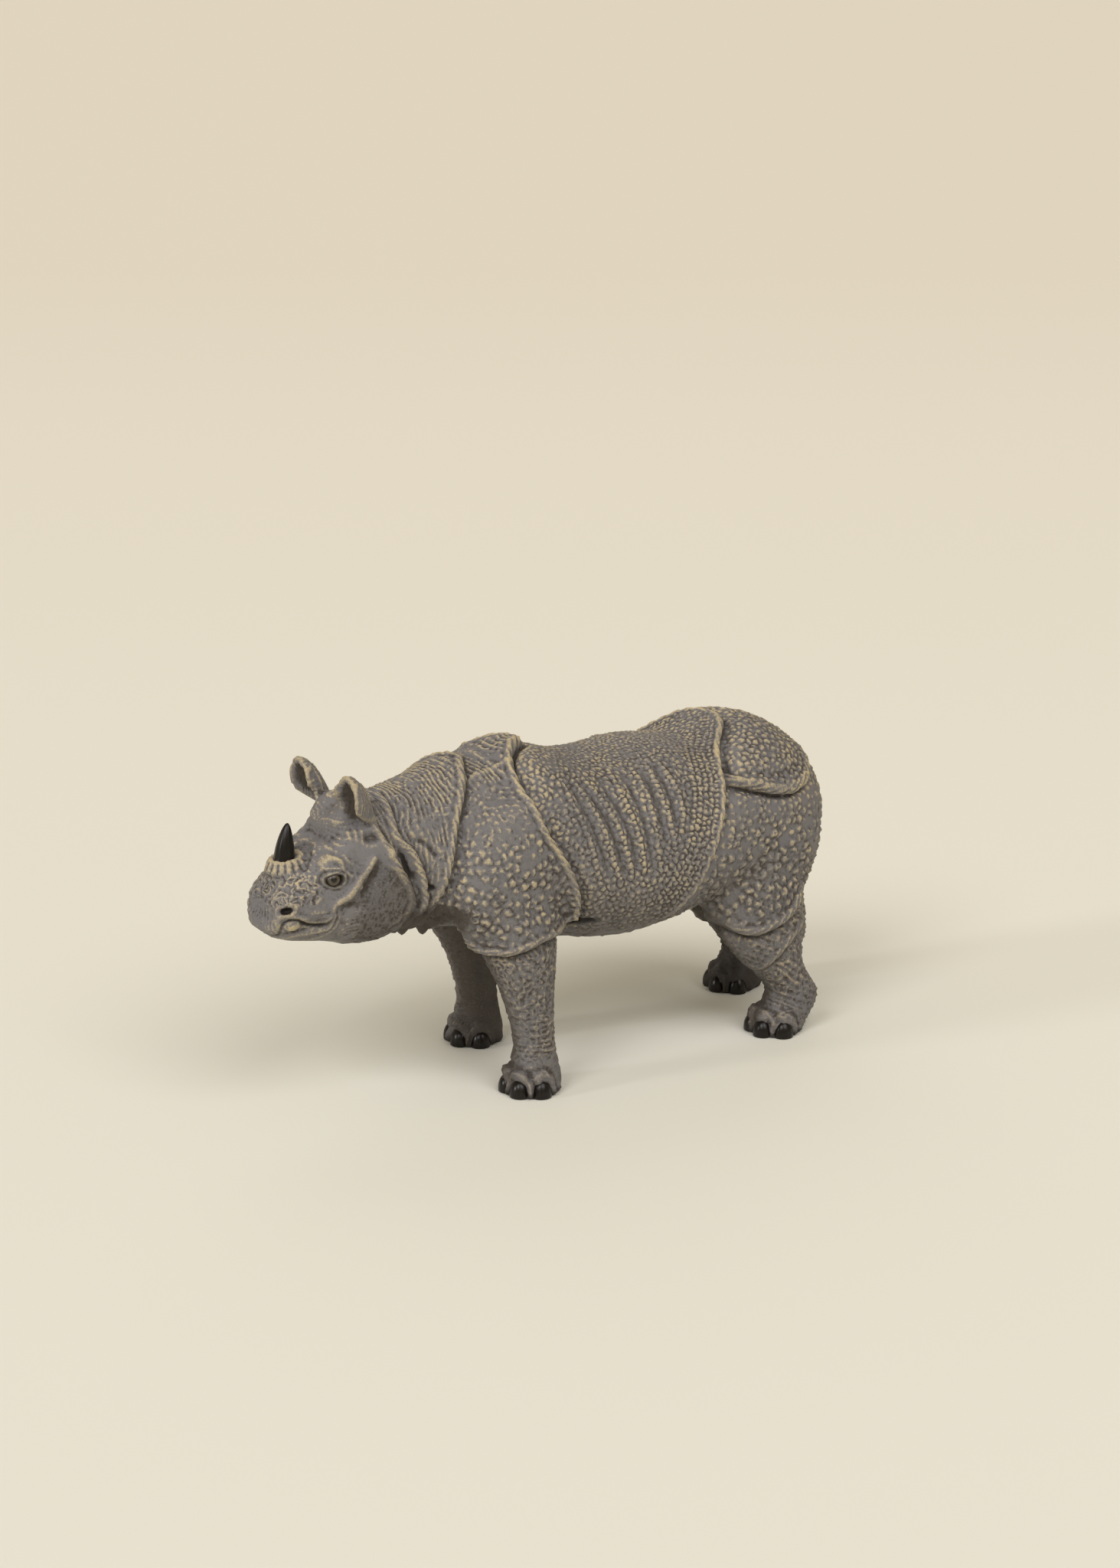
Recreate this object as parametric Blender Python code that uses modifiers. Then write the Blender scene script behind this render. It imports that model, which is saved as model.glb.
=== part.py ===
"""Rhinoceros figurine, moulded in one piece of PVC: an Indian rhinoceros that walks with its head held low.

Metres, +Z up, +X towards the nose and +Y towards the animal's left. The origin lies on the ground, under the
middle of the figure's box. The body, head and limbs are lofts through a few sections. A voxel remesh fuses
them with the ears, horn, tail and nails. The folds of the hide are then pressed into the fused skin, and the
soles are cut off flat. Sizes below are millimetres, and the last step turns them into metres.
"""

import math

import bmesh
import bpy
import numpy as np
from mathutils import Matrix, Vector

MM = 0.001
NAME = "rhinoceros"
SIDES = {"left": 1, "right": -1}

# Driving sizes of the figure.
WITHERS_HEIGHT = 75.8
RUMP_HEIGHT = 73.0
BARREL_HALF_WIDTH = 24.0
NAIL_WIDTH = 4.4
NAIL_HEIGHT = 4.8
NAIL_DEPTH = 3.4
NAIL_SPREAD_DEG = 55.0
FOOT_RADIUS = 6.6
HORN_HEIGHT = 8.6
HORN_BASE_RADIUS = 2.6
EAR_LENGTH = 12.8
EAR_WIDTH = 7.6
EAR_DEPTH = 4.4
EAR_WALL = 0.8
EYE_RADIUS = 2.0
TAIL_RADIUS = 1.9

# How finely the form is worked: the first remesh fuses the masses, the second adds the small parts.
FUSE_VOXEL = 0.8
DETAIL_VOXEL = 0.5
FUSE_SMOOTHING = 22
DETAIL_SMOOTHING = 2
TRIANGLES = 9300
RING_POINTS = 40

# Middle of the trunk's height, about which the ring folds are laid out, and millimetres to a radian there.
TRUNK_AXIS_HEIGHT = 48.0
TRUNK_RADIUS = 24.0
FOLD_REACH = 12.0

# Trunk and head, tail end first: x, top, bottom, half width, height of the widest part, squareness.
TRUNK = (
    (-48.3, 54.0, 45.0, 4.5, 0.50, 2.0),
    (-46.6, 58.4, 40.0, 10.0, 0.50, 2.0),
    (-43.0, 64.4, 36.5, 15.0, 0.50, 2.1),
    (-37.0, 69.6, 35.0, 18.8, 0.49, 2.2),
    (-29.0, 73.0, 34.5, 21.2, 0.47, 2.2),
    (-20.0, RUMP_HEIGHT, 33.0, 22.5, 0.45, 2.2),
    (-10.0, 70.7, 31.6, BARREL_HALF_WIDTH - 0.5, 0.44, 2.2),
    (0.0, 70.5, 29.0, BARREL_HALF_WIDTH, 0.44, 2.2),
    (11.0, 70.3, 28.0, BARREL_HALF_WIDTH, 0.44, 2.2),
    (20.0, 71.0, 29.0, BARREL_HALF_WIDTH - 0.8, 0.45, 2.2),
    (27.0, 73.4, 30.6, 22.2, 0.45, 2.1),
    (32.0, 75.4, 31.8, 21.3, 0.44, 2.0),
    (37.0, WITHERS_HEIGHT, 33.0, 20.0, 0.43, 2.0),
    (43.0, 75.4, 34.5, 18.5, 0.43, 2.0),
    (51.0, 73.6, 36.5, 16.3, 0.45, 2.0),
    (60.0, 71.0, 38.3, 14.3, 0.45, 2.1),
    (68.0, 69.8, 39.0, 12.8, 0.45, 2.2),
    (75.0, 69.8, 38.4, 11.8, 0.45, 2.3),
    (79.5, 67.8, 38.4, 11.0, 0.46, 2.3),
    (82.5, 64.8, 38.8, 10.4, 0.48, 2.3),
    (85.0, 61.8, 39.2, 9.7, 0.48, 2.3),
    (87.5, 59.6, 39.8, 9.0, 0.48, 2.4),
    (90.5, 58.4, 40.2, 8.2, 0.45, 2.4),
    (93.5, 56.4, 41.0, 7.8, 0.45, 2.4),
    (95.6, 52.8, 41.2, 7.2, 0.45, 2.5),
    (97.3, 51.2, 42.6, 5.8, 0.50, 2.3),
)

# Legs from the sole up: height, x, distance from the middle plane, fore-and-aft radius, sideways radius.
FRONT_LEFT_LEG = (
    (-2.5, 39.2, 16.4, 6.7, 6.4),
    (1.5, 39.2, 16.4, 6.9, 6.5),
    (5.0, 38.8, 16.4, 6.2, 5.9),
    (8.5, 38.3, 16.4, 4.8, 4.7),
    (13.0, 38.6, 16.3, 4.6, 4.5),
    (18.0, 39.2, 16.2, 5.0, 4.8),
    (24.0, 40.0, 15.8, 6.1, 5.6),
    (30.0, 41.0, 15.2, 7.8, 6.8),
    (36.0, 42.0, 14.2, 10.0, 8.0),
    (44.0, 43.0, 12.0, 12.0, 9.5),
    (52.0, 43.0, 9.5, 12.0, 9.5),
)
FRONT_RIGHT_LEG = (
    (-2.5, 30.8, 18.4, 6.7, 6.4),
    (1.5, 30.6, 18.4, 6.5, 6.3),
    (5.0, 30.5, 18.3, 6.2, 5.9),
    (8.5, 30.2, 18.1, 4.8, 4.7),
    (13.0, 30.6, 17.8, 4.6, 4.5),
    (18.0, 31.6, 17.4, 5.0, 4.8),
    (24.0, 33.4, 16.6, 6.1, 5.6),
    (30.0, 35.8, 15.6, 7.8, 6.8),
    (36.0, 38.4, 14.2, 10.0, 8.0),
    (44.0, 41.0, 12.0, 12.0, 9.5),
    (52.0, 43.0, 9.5, 12.0, 9.5),
)
REAR_LEFT_LEG = (
    (-2.5, -29.4, 16.4, 6.2, 6.1),
    (1.5, -29.6, 16.4, 6.4, 6.2),
    (5.0, -31.8, 16.4, 7.4, 5.9),
    (8.5, -34.4, 16.4, 6.6, 5.1),
    (12.5, -32.2, 16.4, 5.8, 5.0),
    (17.0, -28.4, 16.4, 7.2, 5.4),
    (21.5, -26.6, 16.2, 9.4, 6.2),
    (26.0, -24.8, 15.6, 11.4, 7.2),
    (31.0, -23.8, 14.6, 12.8, 8.0),
    (38.0, -24.6, 12.8, 15.0, 8.8),
    (46.0, -26.4, 10.8, 15.4, 9.6),
    (55.0, -27.6, 8.6, 14.0, 9.6),
)
REAR_RIGHT_LEG = (
    (-2.5, -41.0, 14.4, 6.6, 6.3),
    (1.5, -41.2, 14.4, 6.8, 6.4),
    (5.0, -43.2, 14.4, 7.2, 5.9),
    (8.5, -45.4, 14.4, 6.0, 5.1),
    (12.5, -43.4, 14.5, 5.4, 5.0),
    (17.0, -40.0, 14.8, 6.0, 5.4),
    (21.5, -36.6, 15.0, 7.8, 6.2),
    (26.0, -33.2, 14.8, 9.8, 7.2),
    (31.0, -30.0, 14.2, 11.8, 8.0),
    (38.0, -28.4, 12.6, 13.6, 8.8),
    (46.0, -28.2, 10.8, 14.6, 9.6),
    (55.0, -28.0, 8.6, 13.8, 9.6),
)
# Each leg with its side and the heading of its middle toe, in degrees from +X towards the animal's left.
LEGS = {
    "front_left": (FRONT_LEFT_LEG, 1, 26.0),
    "front_right": (FRONT_RIGHT_LEG, -1, 14.0),
    "rear_left": (REAR_LEFT_LEG, 1, 17.0),
    "rear_right": (REAR_RIGHT_LEG, -1, 8.0),
}

# Muscle masses and hanging skin, on both sides: centre x, y, z, radii x, y, z, lean in the side view.
MASSES = (
    (43.0, 13.5, 50.0, 15.0, 8.0, 18.0, -12.0),
    (-26.0, 13.5, 46.0, 17.0, 8.0, 17.0, 14.0),
    (73.0, 7.6, 49.0, 8.5, 5.0, 9.0, 20.0),
    (82.6, 7.4, 57.4, 4.6, 3.2, 3.6, 30.0),
    (93.6, 4.8, 48.6, 4.0, 3.6, 4.4, 20.0),
)
SMALL_MASSES = (
    (91.2, 0.0, 57.0, 4.6, 4.4, 3.0, 20.0),
    (78.0, 3.4, 67.2, 4.4, 3.2, 2.6, 40.0),
    (64.4, 3.4, 41.0, 3.6, 1.5, 3.4, 10.0),
    (58.6, 3.6, 39.8, 3.0, 1.5, 3.2, -10.0),
)

# Folds that ring the trunk, from the back down: height of the overlap, then x and the angle about the trunk's
# axis in degrees, 90 on the back. The hide in front of a fold lies over the hide behind it.
RING_FOLDS = {
    "shoulder_plate": (1.5, ((28.0, 92), (34.0, 82), (38.0, 73), (39.4, 60), (39.0, 47), (37.6, 32),
                             (34.0, 18), (31.0, 3), (28.8, -14), (28.0, -32), (29.5, -46))),
    "barrel_plate": (1.5, ((-23.5, 92), (-21.0, 75), (-15.6, 60), (-12.0, 41), (-9.9, 27), (-7.3, 13),
                           (-4.8, 1), (-1.5, -13), (2.0, -25), (7.0, -38))),
    "neck": (1.3, ((45.5, 92), (49.0, 78), (51.6, 66), (55.2, 52), (57.1, 40), (58.5, 25), (60.3, 3),
                   (62.5, -18))),
    "collar": (1.0, ((68.4, 88), (69.4, 55), (66.5, 41), (64.2, 17), (63.4, -13), (66.0, -30))),
    "jaw": (1.1, ((75.0, 74), (73.6, 58), (71.0, 40), (67.8, 15), (66.6, -11), (71.0, -32))),
}
# Folds seen from the side, from the rear forwards: height of the overlap, least distance from the middle
# plane, how far the right-hand fold is shifted in x, then x and z. The hide above lies over the hide below.
SIDE_FOLDS = {
    "rump": (1.4, 5.0, 0.0, ((-40.6, 67.5), (-39.8, 63.6), (-36.4, 60.8), (-30.3, 59.6), (-23.5, 60.8),
                             (-18.0, 62.6), (-12.0, 64.2))),
    "shoulder_hem": (1.5, 11.0, 0.0, ((27.5, 39.0), (34.0, 36.4), (41.0, 35.8), (47.0, 34.0), (52.5, 34.0),
                                      (57.5, 37.4), (62.5, 43.0))),
    "knee": (1.4, 8.0, -4.5, ((-34.5, 35.0), (-32.0, 31.8), (-28.0, 29.0), (-23.0, 27.2), (-18.6, 26.4),
                              (-14.4, 27.6), (-12.0, 30.2))),
    "shin": (0.9, 8.0, -9.5, ((-36.0, 26.0), (-32.0, 24.8), (-28.0, 22.4), (-25.0, 19.4), (-22.0, 15.8))),
    "lip": (0.9, 0.0, 0.0, ((84.6, 45.6), (88.0, 46.8), (92.0, 46.6), (95.0, 45.2), (98.4, 46.0))),
    "cheek": (0.9, 3.0, 0.0, ((75.0, 59.4), (77.2, 55.4), (79.4, 52.6), (81.6, 49.8), (85.0, 48.4))),
}
# Hollows, on both sides: centre x, y, z, radius and depth.
PITS = {
    "nostril": (96.3, 7.2, 49.6, 1.3, 1.3),
    "behind_eye": (79.6, 10.4, 57.6, 2.6, 0.5),
    "mouth_corner": (84.0, 10.0, 45.4, 1.4, 0.8),
}


def clear_scene():
    """Remove every object of the scene."""
    for scene_object in list(bpy.data.objects):
        bpy.data.objects.remove(scene_object)


def smooth_rows(keys, per_span):
    """Rows read from a smooth curve through the key rows, per_span rows to each span."""
    rows = np.array(keys, float)
    ends = np.vstack([2 * rows[0] - rows[1], rows, 2 * rows[-1] - rows[-2]])
    made = []
    for before, start, end, after in zip(ends, ends[1:], ends[2:], ends[3:]):
        for share in np.arange(per_span) / per_span:
            made.append(
                0.5 * (2 * start + (end - before) * share
                       + (2 * before - 5 * start + 4 * end - after) * share**2
                       + (3 * start - before - 3 * end + after) * share**3)
            )
    made.append(rows[-1])
    return np.array(made)


def add_loft(mesh, rings):
    """Skin a closed tube over rings of equally many points, with a fan over each end."""
    loops = [[mesh.verts.new(point) for point in ring] for ring in rings]
    for lower, upper in zip(loops, loops[1:]):
        for here in range(len(lower)):
            there = (here + 1) % len(lower)
            mesh.faces.new((lower[here], lower[there], upper[there], upper[here]))
    for loop in (loops[0], loops[-1]):
        middle = mesh.verts.new(sum((vert.co for vert in loop), Vector()) / len(loop))
        for here in range(len(loop)):
            mesh.faces.new((loop[here], loop[(here + 1) % len(loop)], middle))


def finished(mesh, name):
    """An object from a closed bmesh, with its faces turned outwards."""
    bmesh.ops.recalc_face_normals(mesh, faces=mesh.faces)
    data = bpy.data.meshes.new(name)
    mesh.to_mesh(data)
    mesh.free()
    made = bpy.data.objects.new(name, data)
    bpy.context.scene.collection.objects.link(made)
    return made


def trunk_ring(row):
    """One upright ring of the trunk or head, flatter-sided as its squareness grows."""
    x, top, bottom, half_width, widest, squareness = row
    middle = bottom + widest * (top - bottom)
    ring = []
    for step in range(RING_POINTS):
        turn = 2 * math.pi * step / RING_POINTS
        across, up = math.cos(turn), math.sin(turn)
        reach = (top - middle) if up > 0 else (middle - bottom)
        ring.append((
            x,
            math.copysign(abs(across) ** (2 / squareness), across) * half_width,
            middle + math.copysign(abs(up) ** (2 / squareness), up) * reach,
        ))
    return ring


def make_trunk():
    mesh = bmesh.new()
    add_loft(mesh, [trunk_ring(row) for row in smooth_rows(TRUNK, 4)])
    return finished(mesh, "trunk")


def make_leg(name, keys, side):
    mesh = bmesh.new()
    rings = []
    for z, x, y, along, across in smooth_rows(keys, 4):
        turns = (2 * math.pi * step / RING_POINTS for step in range(RING_POINTS))
        rings.append([(x + along * math.cos(t), side * y + across * math.sin(t), z) for t in turns])
    add_loft(mesh, rings)
    return finished(mesh, name)


def make_ball(name, centre, radii, turn=Matrix()):
    """An ellipsoid of three radii, turned and then moved to its centre."""
    mesh = bmesh.new()
    bmesh.ops.create_uvsphere(mesh, u_segments=24, v_segments=16, radius=1)
    bmesh.ops.scale(mesh, vec=radii, verts=mesh.verts)
    bmesh.ops.transform(mesh, matrix=Matrix.Translation(centre) @ turn, verts=mesh.verts)
    return finished(mesh, name)


def make_masses(masses):
    """Ellipsoids from a table, one on each side, or a single one where the table puts it in the middle."""
    made = []
    for x, y, z, along, across, up, lean in masses:
        turn = Matrix.Rotation(math.radians(lean), 4, "Y")
        for side_name, side in SIDES.items():
            if y or side > 0:
                made.append(make_ball(f"mass_{side_name}", (x, side * y, z), (along, across, up), turn))
    return made


def make_tube(name, path, radii, segments=16):
    """A tube of round sections along a path in the middle plane, given as x and z."""
    rows = smooth_rows([(x, z, radius) for (x, z), radius in zip(path, radii)], 4)
    mesh = bmesh.new()
    rings = []
    for number, (x, z, radius) in enumerate(rows.tolist()):
        before, after = rows[max(number - 1, 0)], rows[min(number + 1, len(rows) - 1)]
        along = Vector((after[0] - before[0], 0, after[1] - before[1])).normalized()
        across = Vector((0, 1, 0))
        up = along.cross(across)
        turns = (2 * math.pi * step / segments for step in range(segments))
        rings.append([Vector((x, 0, z)) + radius * (math.cos(t) * across + math.sin(t) * up) for t in turns])
    add_loft(mesh, rings)
    return finished(mesh, name)


def make_horn():
    """The short nose horn: a blunt cone that leans back a little, with a small lip behind its foot."""
    shares = (-0.25, 0.0, 0.35, 0.7, 0.9, 1.0)
    radii = [HORN_BASE_RADIUS * k for k in (1.0, 1.0, 0.92, 0.62, 0.38, 0.16)]
    path = [(91.6 - 0.9 * share**2, 57.4 + HORN_HEIGHT * share) for share in shares]
    lip = make_ball("horn_lip", (89.2, 0, 58.6), (1.0, 1.7, 0.9))
    return [make_tube("horn", path, radii), lip]


def make_tail():
    """The tail, which hangs against the rump and ends in a small flat tuft."""
    path = ((-44.5, 60.0), (-46.4, 54.0), (-47.2, 45.0), (-47.6, 35.0), (-48.2, 25.5), (-49.2, 18.0),
            (-49.2, 13.0))
    radii = [TAIL_RADIUS * k for k in (1.8, 1.4, 1.1, 0.9, 0.85, 0.95, 0.5)]
    return [make_tube("tail", path, radii)]


def make_ears():
    """Two upright leaves, each hollowed at the front so that it curls like a scoop."""
    made = []
    for name, side in SIDES.items():
        mesh = bmesh.new()
        bmesh.ops.create_uvsphere(mesh, u_segments=32, v_segments=24, radius=1)
        for vert in mesh.verts:
            front, across, up = vert.co
            taper = 1.0 - 0.25 * max(up, 0.0) ** 3 - 0.2 * max(-up, 0.0)
            curl = EAR_DEPTH * (across**2 * (1.0 - 0.3 * max(up, 0.0)) - 0.5)
            nod = 0.9 * max(up, 0.0) ** 2
            vert.co = (
                curl * taper + EAR_WALL * math.copysign(abs(front) ** 0.4, front) + nod,
                across * taper * EAR_WIDTH / 2,
                up * EAR_LENGTH / 2,
            )
        lean = Matrix.Rotation(math.radians(24.0), 4, "Y")
        splay = Matrix.Rotation(math.radians(-side * 9.0), 4, "X")
        turn = Matrix.Rotation(math.radians(side * 4.0), 4, "Z")
        place = Matrix.Translation((79.6, side * 8.9, 71.1))
        bmesh.ops.transform(mesh, matrix=place @ splay @ lean @ turn, verts=mesh.verts)
        made.append(finished(mesh, f"ear_{name}"))
    return made


def make_eyes():
    return [make_ball(f"eye_{name}", (84.9, side * 9.4, 55.2), (EYE_RADIUS, 1.3, EYE_RADIUS * 0.85))
            for name, side in SIDES.items()]


def make_nails():
    """Three upright nails round the front of each foot."""
    made = []
    for leg_name, (keys, side, heading) in LEGS.items():
        foot = Vector((keys[1][1], side * keys[1][2], 0))
        for toe in (-1, 0, 1):
            angle = math.radians(heading + toe * NAIL_SPREAD_DEG)
            outward = Vector((math.cos(angle), math.sin(angle), 0))
            centre = foot + (FOOT_RADIUS - 1.2) * outward + Vector((0, 0, 2.0))
            turn = Matrix.Rotation(angle, 4, "Z")
            radii = (NAIL_DEPTH / 2, NAIL_WIDTH / 2, NAIL_HEIGHT / 2 + 0.6)
            made.append(make_ball(f"nail_{leg_name}", centre, radii, turn))
    return made


def fused(objects, name, voxel):
    """One object out of several that overlap, by a voxel remesh of them all."""
    bpy.ops.object.select_all(action="DESELECT")
    for part in objects:
        part.select_set(True)
    bpy.context.view_layer.objects.active = objects[0]
    bpy.ops.object.join()
    whole = bpy.context.view_layer.objects.active
    whole.name = name
    remesh = whole.modifiers.new("fuse", "REMESH")
    remesh.mode = "VOXEL"
    remesh.voxel_size = voxel
    bpy.ops.object.modifier_apply(modifier=remesh.name)
    return whole


def relax(whole, rounds, factor=0.5):
    """Smooth the whole skin by a few rounds."""
    smooth = whole.modifiers.new("relax", "SMOOTH")
    smooth.factor = factor
    smooth.iterations = rounds
    bpy.context.view_layer.objects.active = whole
    bpy.ops.object.modifier_apply(modifier=smooth.name)


def distance_to_curve(flat, curve):
    """Signed distance of each point to a line through the curve's points, positive on its left, and how
    far along the line its nearest point lies."""
    nearest = np.full(len(flat), 1e9)
    signed = np.zeros(len(flat))
    run = np.zeros(len(flat))
    travelled = 0.0
    for start, end in zip(curve, curve[1:]):
        step = end - start
        length = float(np.hypot(*step))
        offset = flat - start
        share = np.clip(offset @ step / length**2, 0.0, 1.0)
        gap = offset - share[:, None] * step
        distance = np.hypot(gap[:, 0], gap[:, 1])
        side = np.sign(step[0] * offset[:, 1] - step[1] * offset[:, 0])
        closer = distance < nearest
        nearest[closer] = distance[closer]
        signed[closer] = (distance * side)[closer]
        run[closer] = (travelled + share * length)[closer]
        travelled += length
    return signed, run, travelled


def overlap(signed):
    """Rise of the hide across a fold, 1 at its lip: a lip, a swelling behind it and a groove under it."""
    lip = np.exp(-(((signed - 1.0) / 1.1) ** 2))
    swelling = 0.45 * np.exp(-np.maximum(signed, 0.0) / 5.0) / (1 + np.exp(-signed / 0.25))
    groove = 0.75 * np.exp(-(((signed + 0.9) / 0.8) ** 2)) + 0.25 * np.exp(-(((signed + 1.5) / 2.0) ** 2))
    return 0.6 * lip + swelling - groove


def fold_rise(flat, points, height, fade):
    """How far each place of the laid-out skin rises for one fold, which fades out towards both ends."""
    curve = smooth_rows(points, 4)
    rise = np.zeros(len(flat))
    near = np.all((flat > curve.min(axis=0) - FOLD_REACH) & (flat < curve.max(axis=0) + FOLD_REACH), axis=1)
    signed, run, length = distance_to_curve(flat[near], curve)
    ends = np.clip(np.minimum(run, length - run) / fade, 0.0, 1.0)
    rise[near] = height * overlap(signed) * ends * (np.abs(signed) < FOLD_REACH)
    return rise


def press_folds(whole):
    """Press the folds and hollows of the hide into the fused skin, along its normals."""
    mesh = whole.data
    places = np.array([vert.co for vert in mesh.vertices])
    normals = np.array([vert.normal for vert in mesh.vertices])
    x, y, z = places.T
    turn = np.arctan2(z - TRUNK_AXIS_HEIGHT, np.abs(y))
    wrapped = np.stack([x, TRUNK_RADIUS * turn], axis=1)
    rise = np.zeros(len(places))
    for height, points in RING_FOLDS.values():
        curve = [(along, TRUNK_RADIUS * math.radians(angle)) for along, angle in points]
        ring = fold_rise(wrapped, curve, height, 4.0)
        crossing = np.clip((curve[0][1] - 2.0 - wrapped[:, 1]) / 4.0, 0.0, 1.0)
        rise += np.where(points[0][1] > 90, ring, ring * crossing)
    for height, clear, shift, points in SIDE_FOLDS.values():
        flat = np.stack([x - np.where(y < 0, shift, 0.0), z], axis=1)
        beyond = np.clip((np.abs(y) - clear) / 2.0, 0.0, 1.0) if clear else 1.0
        rise += fold_rise(flat, points, height, 3.0) * beyond
    for centre_x, centre_y, centre_z, radius, depth in PITS.values():
        gap = np.stack([x - centre_x, np.abs(y) - centre_y, z - centre_z], axis=1)
        rise -= depth * np.exp(-((gap**2).sum(axis=1)) / radius**2)
    mesh.vertices.foreach_set("co", (places + normals * rise[:, None]).ravel())
    mesh.update()


def thin_out(whole, triangles):
    """Reduce the skin to a number of triangles."""
    count = sum(len(face.vertices) - 2 for face in whole.data.polygons)
    decimate = whole.modifiers.new("thin_out", "DECIMATE")
    decimate.ratio = triangles / count
    bpy.context.view_layer.objects.active = whole
    bpy.ops.object.modifier_apply(modifier=decimate.name)


def cut_soles(whole):
    """Cut the feet off flat on the ground and close the cuts."""
    mesh = bmesh.new()
    mesh.from_mesh(whole.data)
    everything = mesh.verts[:] + mesh.edges[:] + mesh.faces[:]
    cut = bmesh.ops.bisect_plane(mesh, geom=everything, plane_co=(0, 0, 0), plane_no=(0, 0, 1),
                                 clear_inner=True, dist=1e-5)
    rim = [item for item in cut["geom_cut"] if isinstance(item, bmesh.types.BMEdge)]
    for vert in {vert for edge in rim for vert in edge.verts}:
        vert.co.z = 0.0
    bmesh.ops.holes_fill(mesh, edges=rim, sides=0)
    bmesh.ops.dissolve_degenerate(mesh, edges=mesh.edges, dist=0.02)
    bmesh.ops.triangulate(mesh, faces=[face for face in mesh.faces if len(face.verts) > 3])
    mesh.to_mesh(whole.data)
    mesh.free()


def place_in_metres(whole):
    """Centre the figure's box over the origin and turn millimetres into metres."""
    places = np.array([vert.co for vert in whole.data.vertices])
    low, high = places.min(axis=0), places.max(axis=0)
    places -= ((low[0] + high[0]) / 2, (low[1] + high[1]) / 2, 0.0)
    whole.data.vertices.foreach_set("co", (places * MM).ravel())
    whole.data.update()


def paint(whole):
    """The figure's plain grey material."""
    material = bpy.data.materials.new("grey_pvc")
    material.use_nodes = True
    shader = material.node_tree.nodes["Principled BSDF"]
    shader.inputs["Base Color"].default_value = (0.145, 0.135, 0.145, 1.0)
    shader.inputs["Roughness"].default_value = 0.6
    whole.data.materials.clear()
    whole.data.materials.append(material)


def collect(whole):
    """Put the figure in a collection of its own name."""
    collection = bpy.data.collections.new(NAME)
    bpy.context.scene.collection.children.link(collection)
    for other in list(whole.users_collection):
        other.objects.unlink(whole)
    collection.objects.link(whole)


def main():
    clear_scene()
    legs = [make_leg(name, keys, side) for name, (keys, side, _) in LEGS.items()]
    body = fused([make_trunk(), *legs, *make_masses(MASSES)], NAME, FUSE_VOXEL)
    relax(body, FUSE_SMOOTHING)
    small = [*make_masses(SMALL_MASSES), *make_ears(), *make_eyes(), *make_horn(), *make_tail(), *make_nails()]
    body = fused([body, *small], NAME, DETAIL_VOXEL)
    relax(body, DETAIL_SMOOTHING)
    press_folds(body)
    thin_out(body, TRIANGLES)
    cut_soles(body)
    place_in_metres(body)
    paint(body)
    collect(body)
    return body


if __name__ == "__main__":
    main()
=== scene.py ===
"""Looks of a moulded rhinoceros figurine: its carved hide, horn, toenails and eyes, in a pale studio.

Landmarks are in figure millimetres: x towards the nose, y to the animal's left, z up from the ground.
"""

import logging
import math
from dataclasses import dataclass, field
from enum import Enum
from typing import Any, Sequence

import bpy
import numpy as np
from mathutils import Matrix, Vector
from mathutils.kdtree import KDTree


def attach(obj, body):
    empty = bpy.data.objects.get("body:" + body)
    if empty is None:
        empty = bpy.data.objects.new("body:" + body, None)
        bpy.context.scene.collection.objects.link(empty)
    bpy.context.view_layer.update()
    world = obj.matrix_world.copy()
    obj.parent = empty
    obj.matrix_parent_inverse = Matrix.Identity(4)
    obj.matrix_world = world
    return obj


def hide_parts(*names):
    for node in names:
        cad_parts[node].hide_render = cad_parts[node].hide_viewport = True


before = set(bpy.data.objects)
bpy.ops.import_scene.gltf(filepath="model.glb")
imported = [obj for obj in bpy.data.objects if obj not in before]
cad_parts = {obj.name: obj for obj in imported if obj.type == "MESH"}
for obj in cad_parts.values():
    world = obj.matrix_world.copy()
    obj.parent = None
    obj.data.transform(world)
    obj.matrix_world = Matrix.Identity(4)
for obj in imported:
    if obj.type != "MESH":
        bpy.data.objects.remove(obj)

LOG = logging.getLogger("rhinoceros")
MM = 0.001
BODY = "root"
CASTING = "rhinoceros"
FIGURE_SHIFT = np.array((23.164, -0.002, 0.0))
TRUNK_AXIS_HEIGHT = 48.0
TRUNK_RADIUS = 24.0
ROW_HALF_WIDTH = 0.24

Line = Sequence[tuple[float, float]]


class Zone(Enum):
    """Parts of the hide that carry their own relief."""

    HEAD = "head"
    COLLAR = "collar"
    NECK = "neck"
    SHOULDER = "shoulder"
    BARREL = "barrel"
    BELLY = "belly"
    RUMP = "rump"
    THIGH = "thigh"
    FORELEG = "foreleg"
    HIND_LEG = "hind_leg"


class Layout(Enum):
    """How a line on the hide is laid out flat."""

    ROUND = "laid round the trunk, as x and the angle above the middle in degrees"
    SIDE = "seen from the side, as x and z"


def soft_step(low: float, high: float, values: np.ndarray) -> np.ndarray:
    """A smooth rise from 0 at low to 1 at high, which may be the lower of the two."""
    share = np.clip((values - low) / (high - low), 0.0, 1.0)
    return share * share * (3.0 - 2.0 * share)


def hump(distance: np.ndarray, width: float) -> np.ndarray:
    """A smooth bump, 1 where the distance is 0 and nearly gone at twice the width."""
    return np.exp(-((distance / width) ** 2))


def hashed(cells: np.ndarray, seed: int) -> np.ndarray:
    """A repeatable number from 0 to 1 for each row of whole numbers.

    Args:
        cells: Rows of three whole numbers.
        seed: Picks the pattern.

    Returns:
        One number a row.
    """
    x, y, z = cells.astype(np.int64).T
    mixed = (x * 374761393 + y * 668265263 + z * 1442695041 + seed * 974634777) & 0xFFFFFFFF
    mixed = ((mixed ^ (mixed >> 13)) * 1274126177) & 0xFFFFFFFF
    return ((mixed ^ (mixed >> 16)) & 0xFFFFFF) / float(0xFFFFFF)


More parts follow.
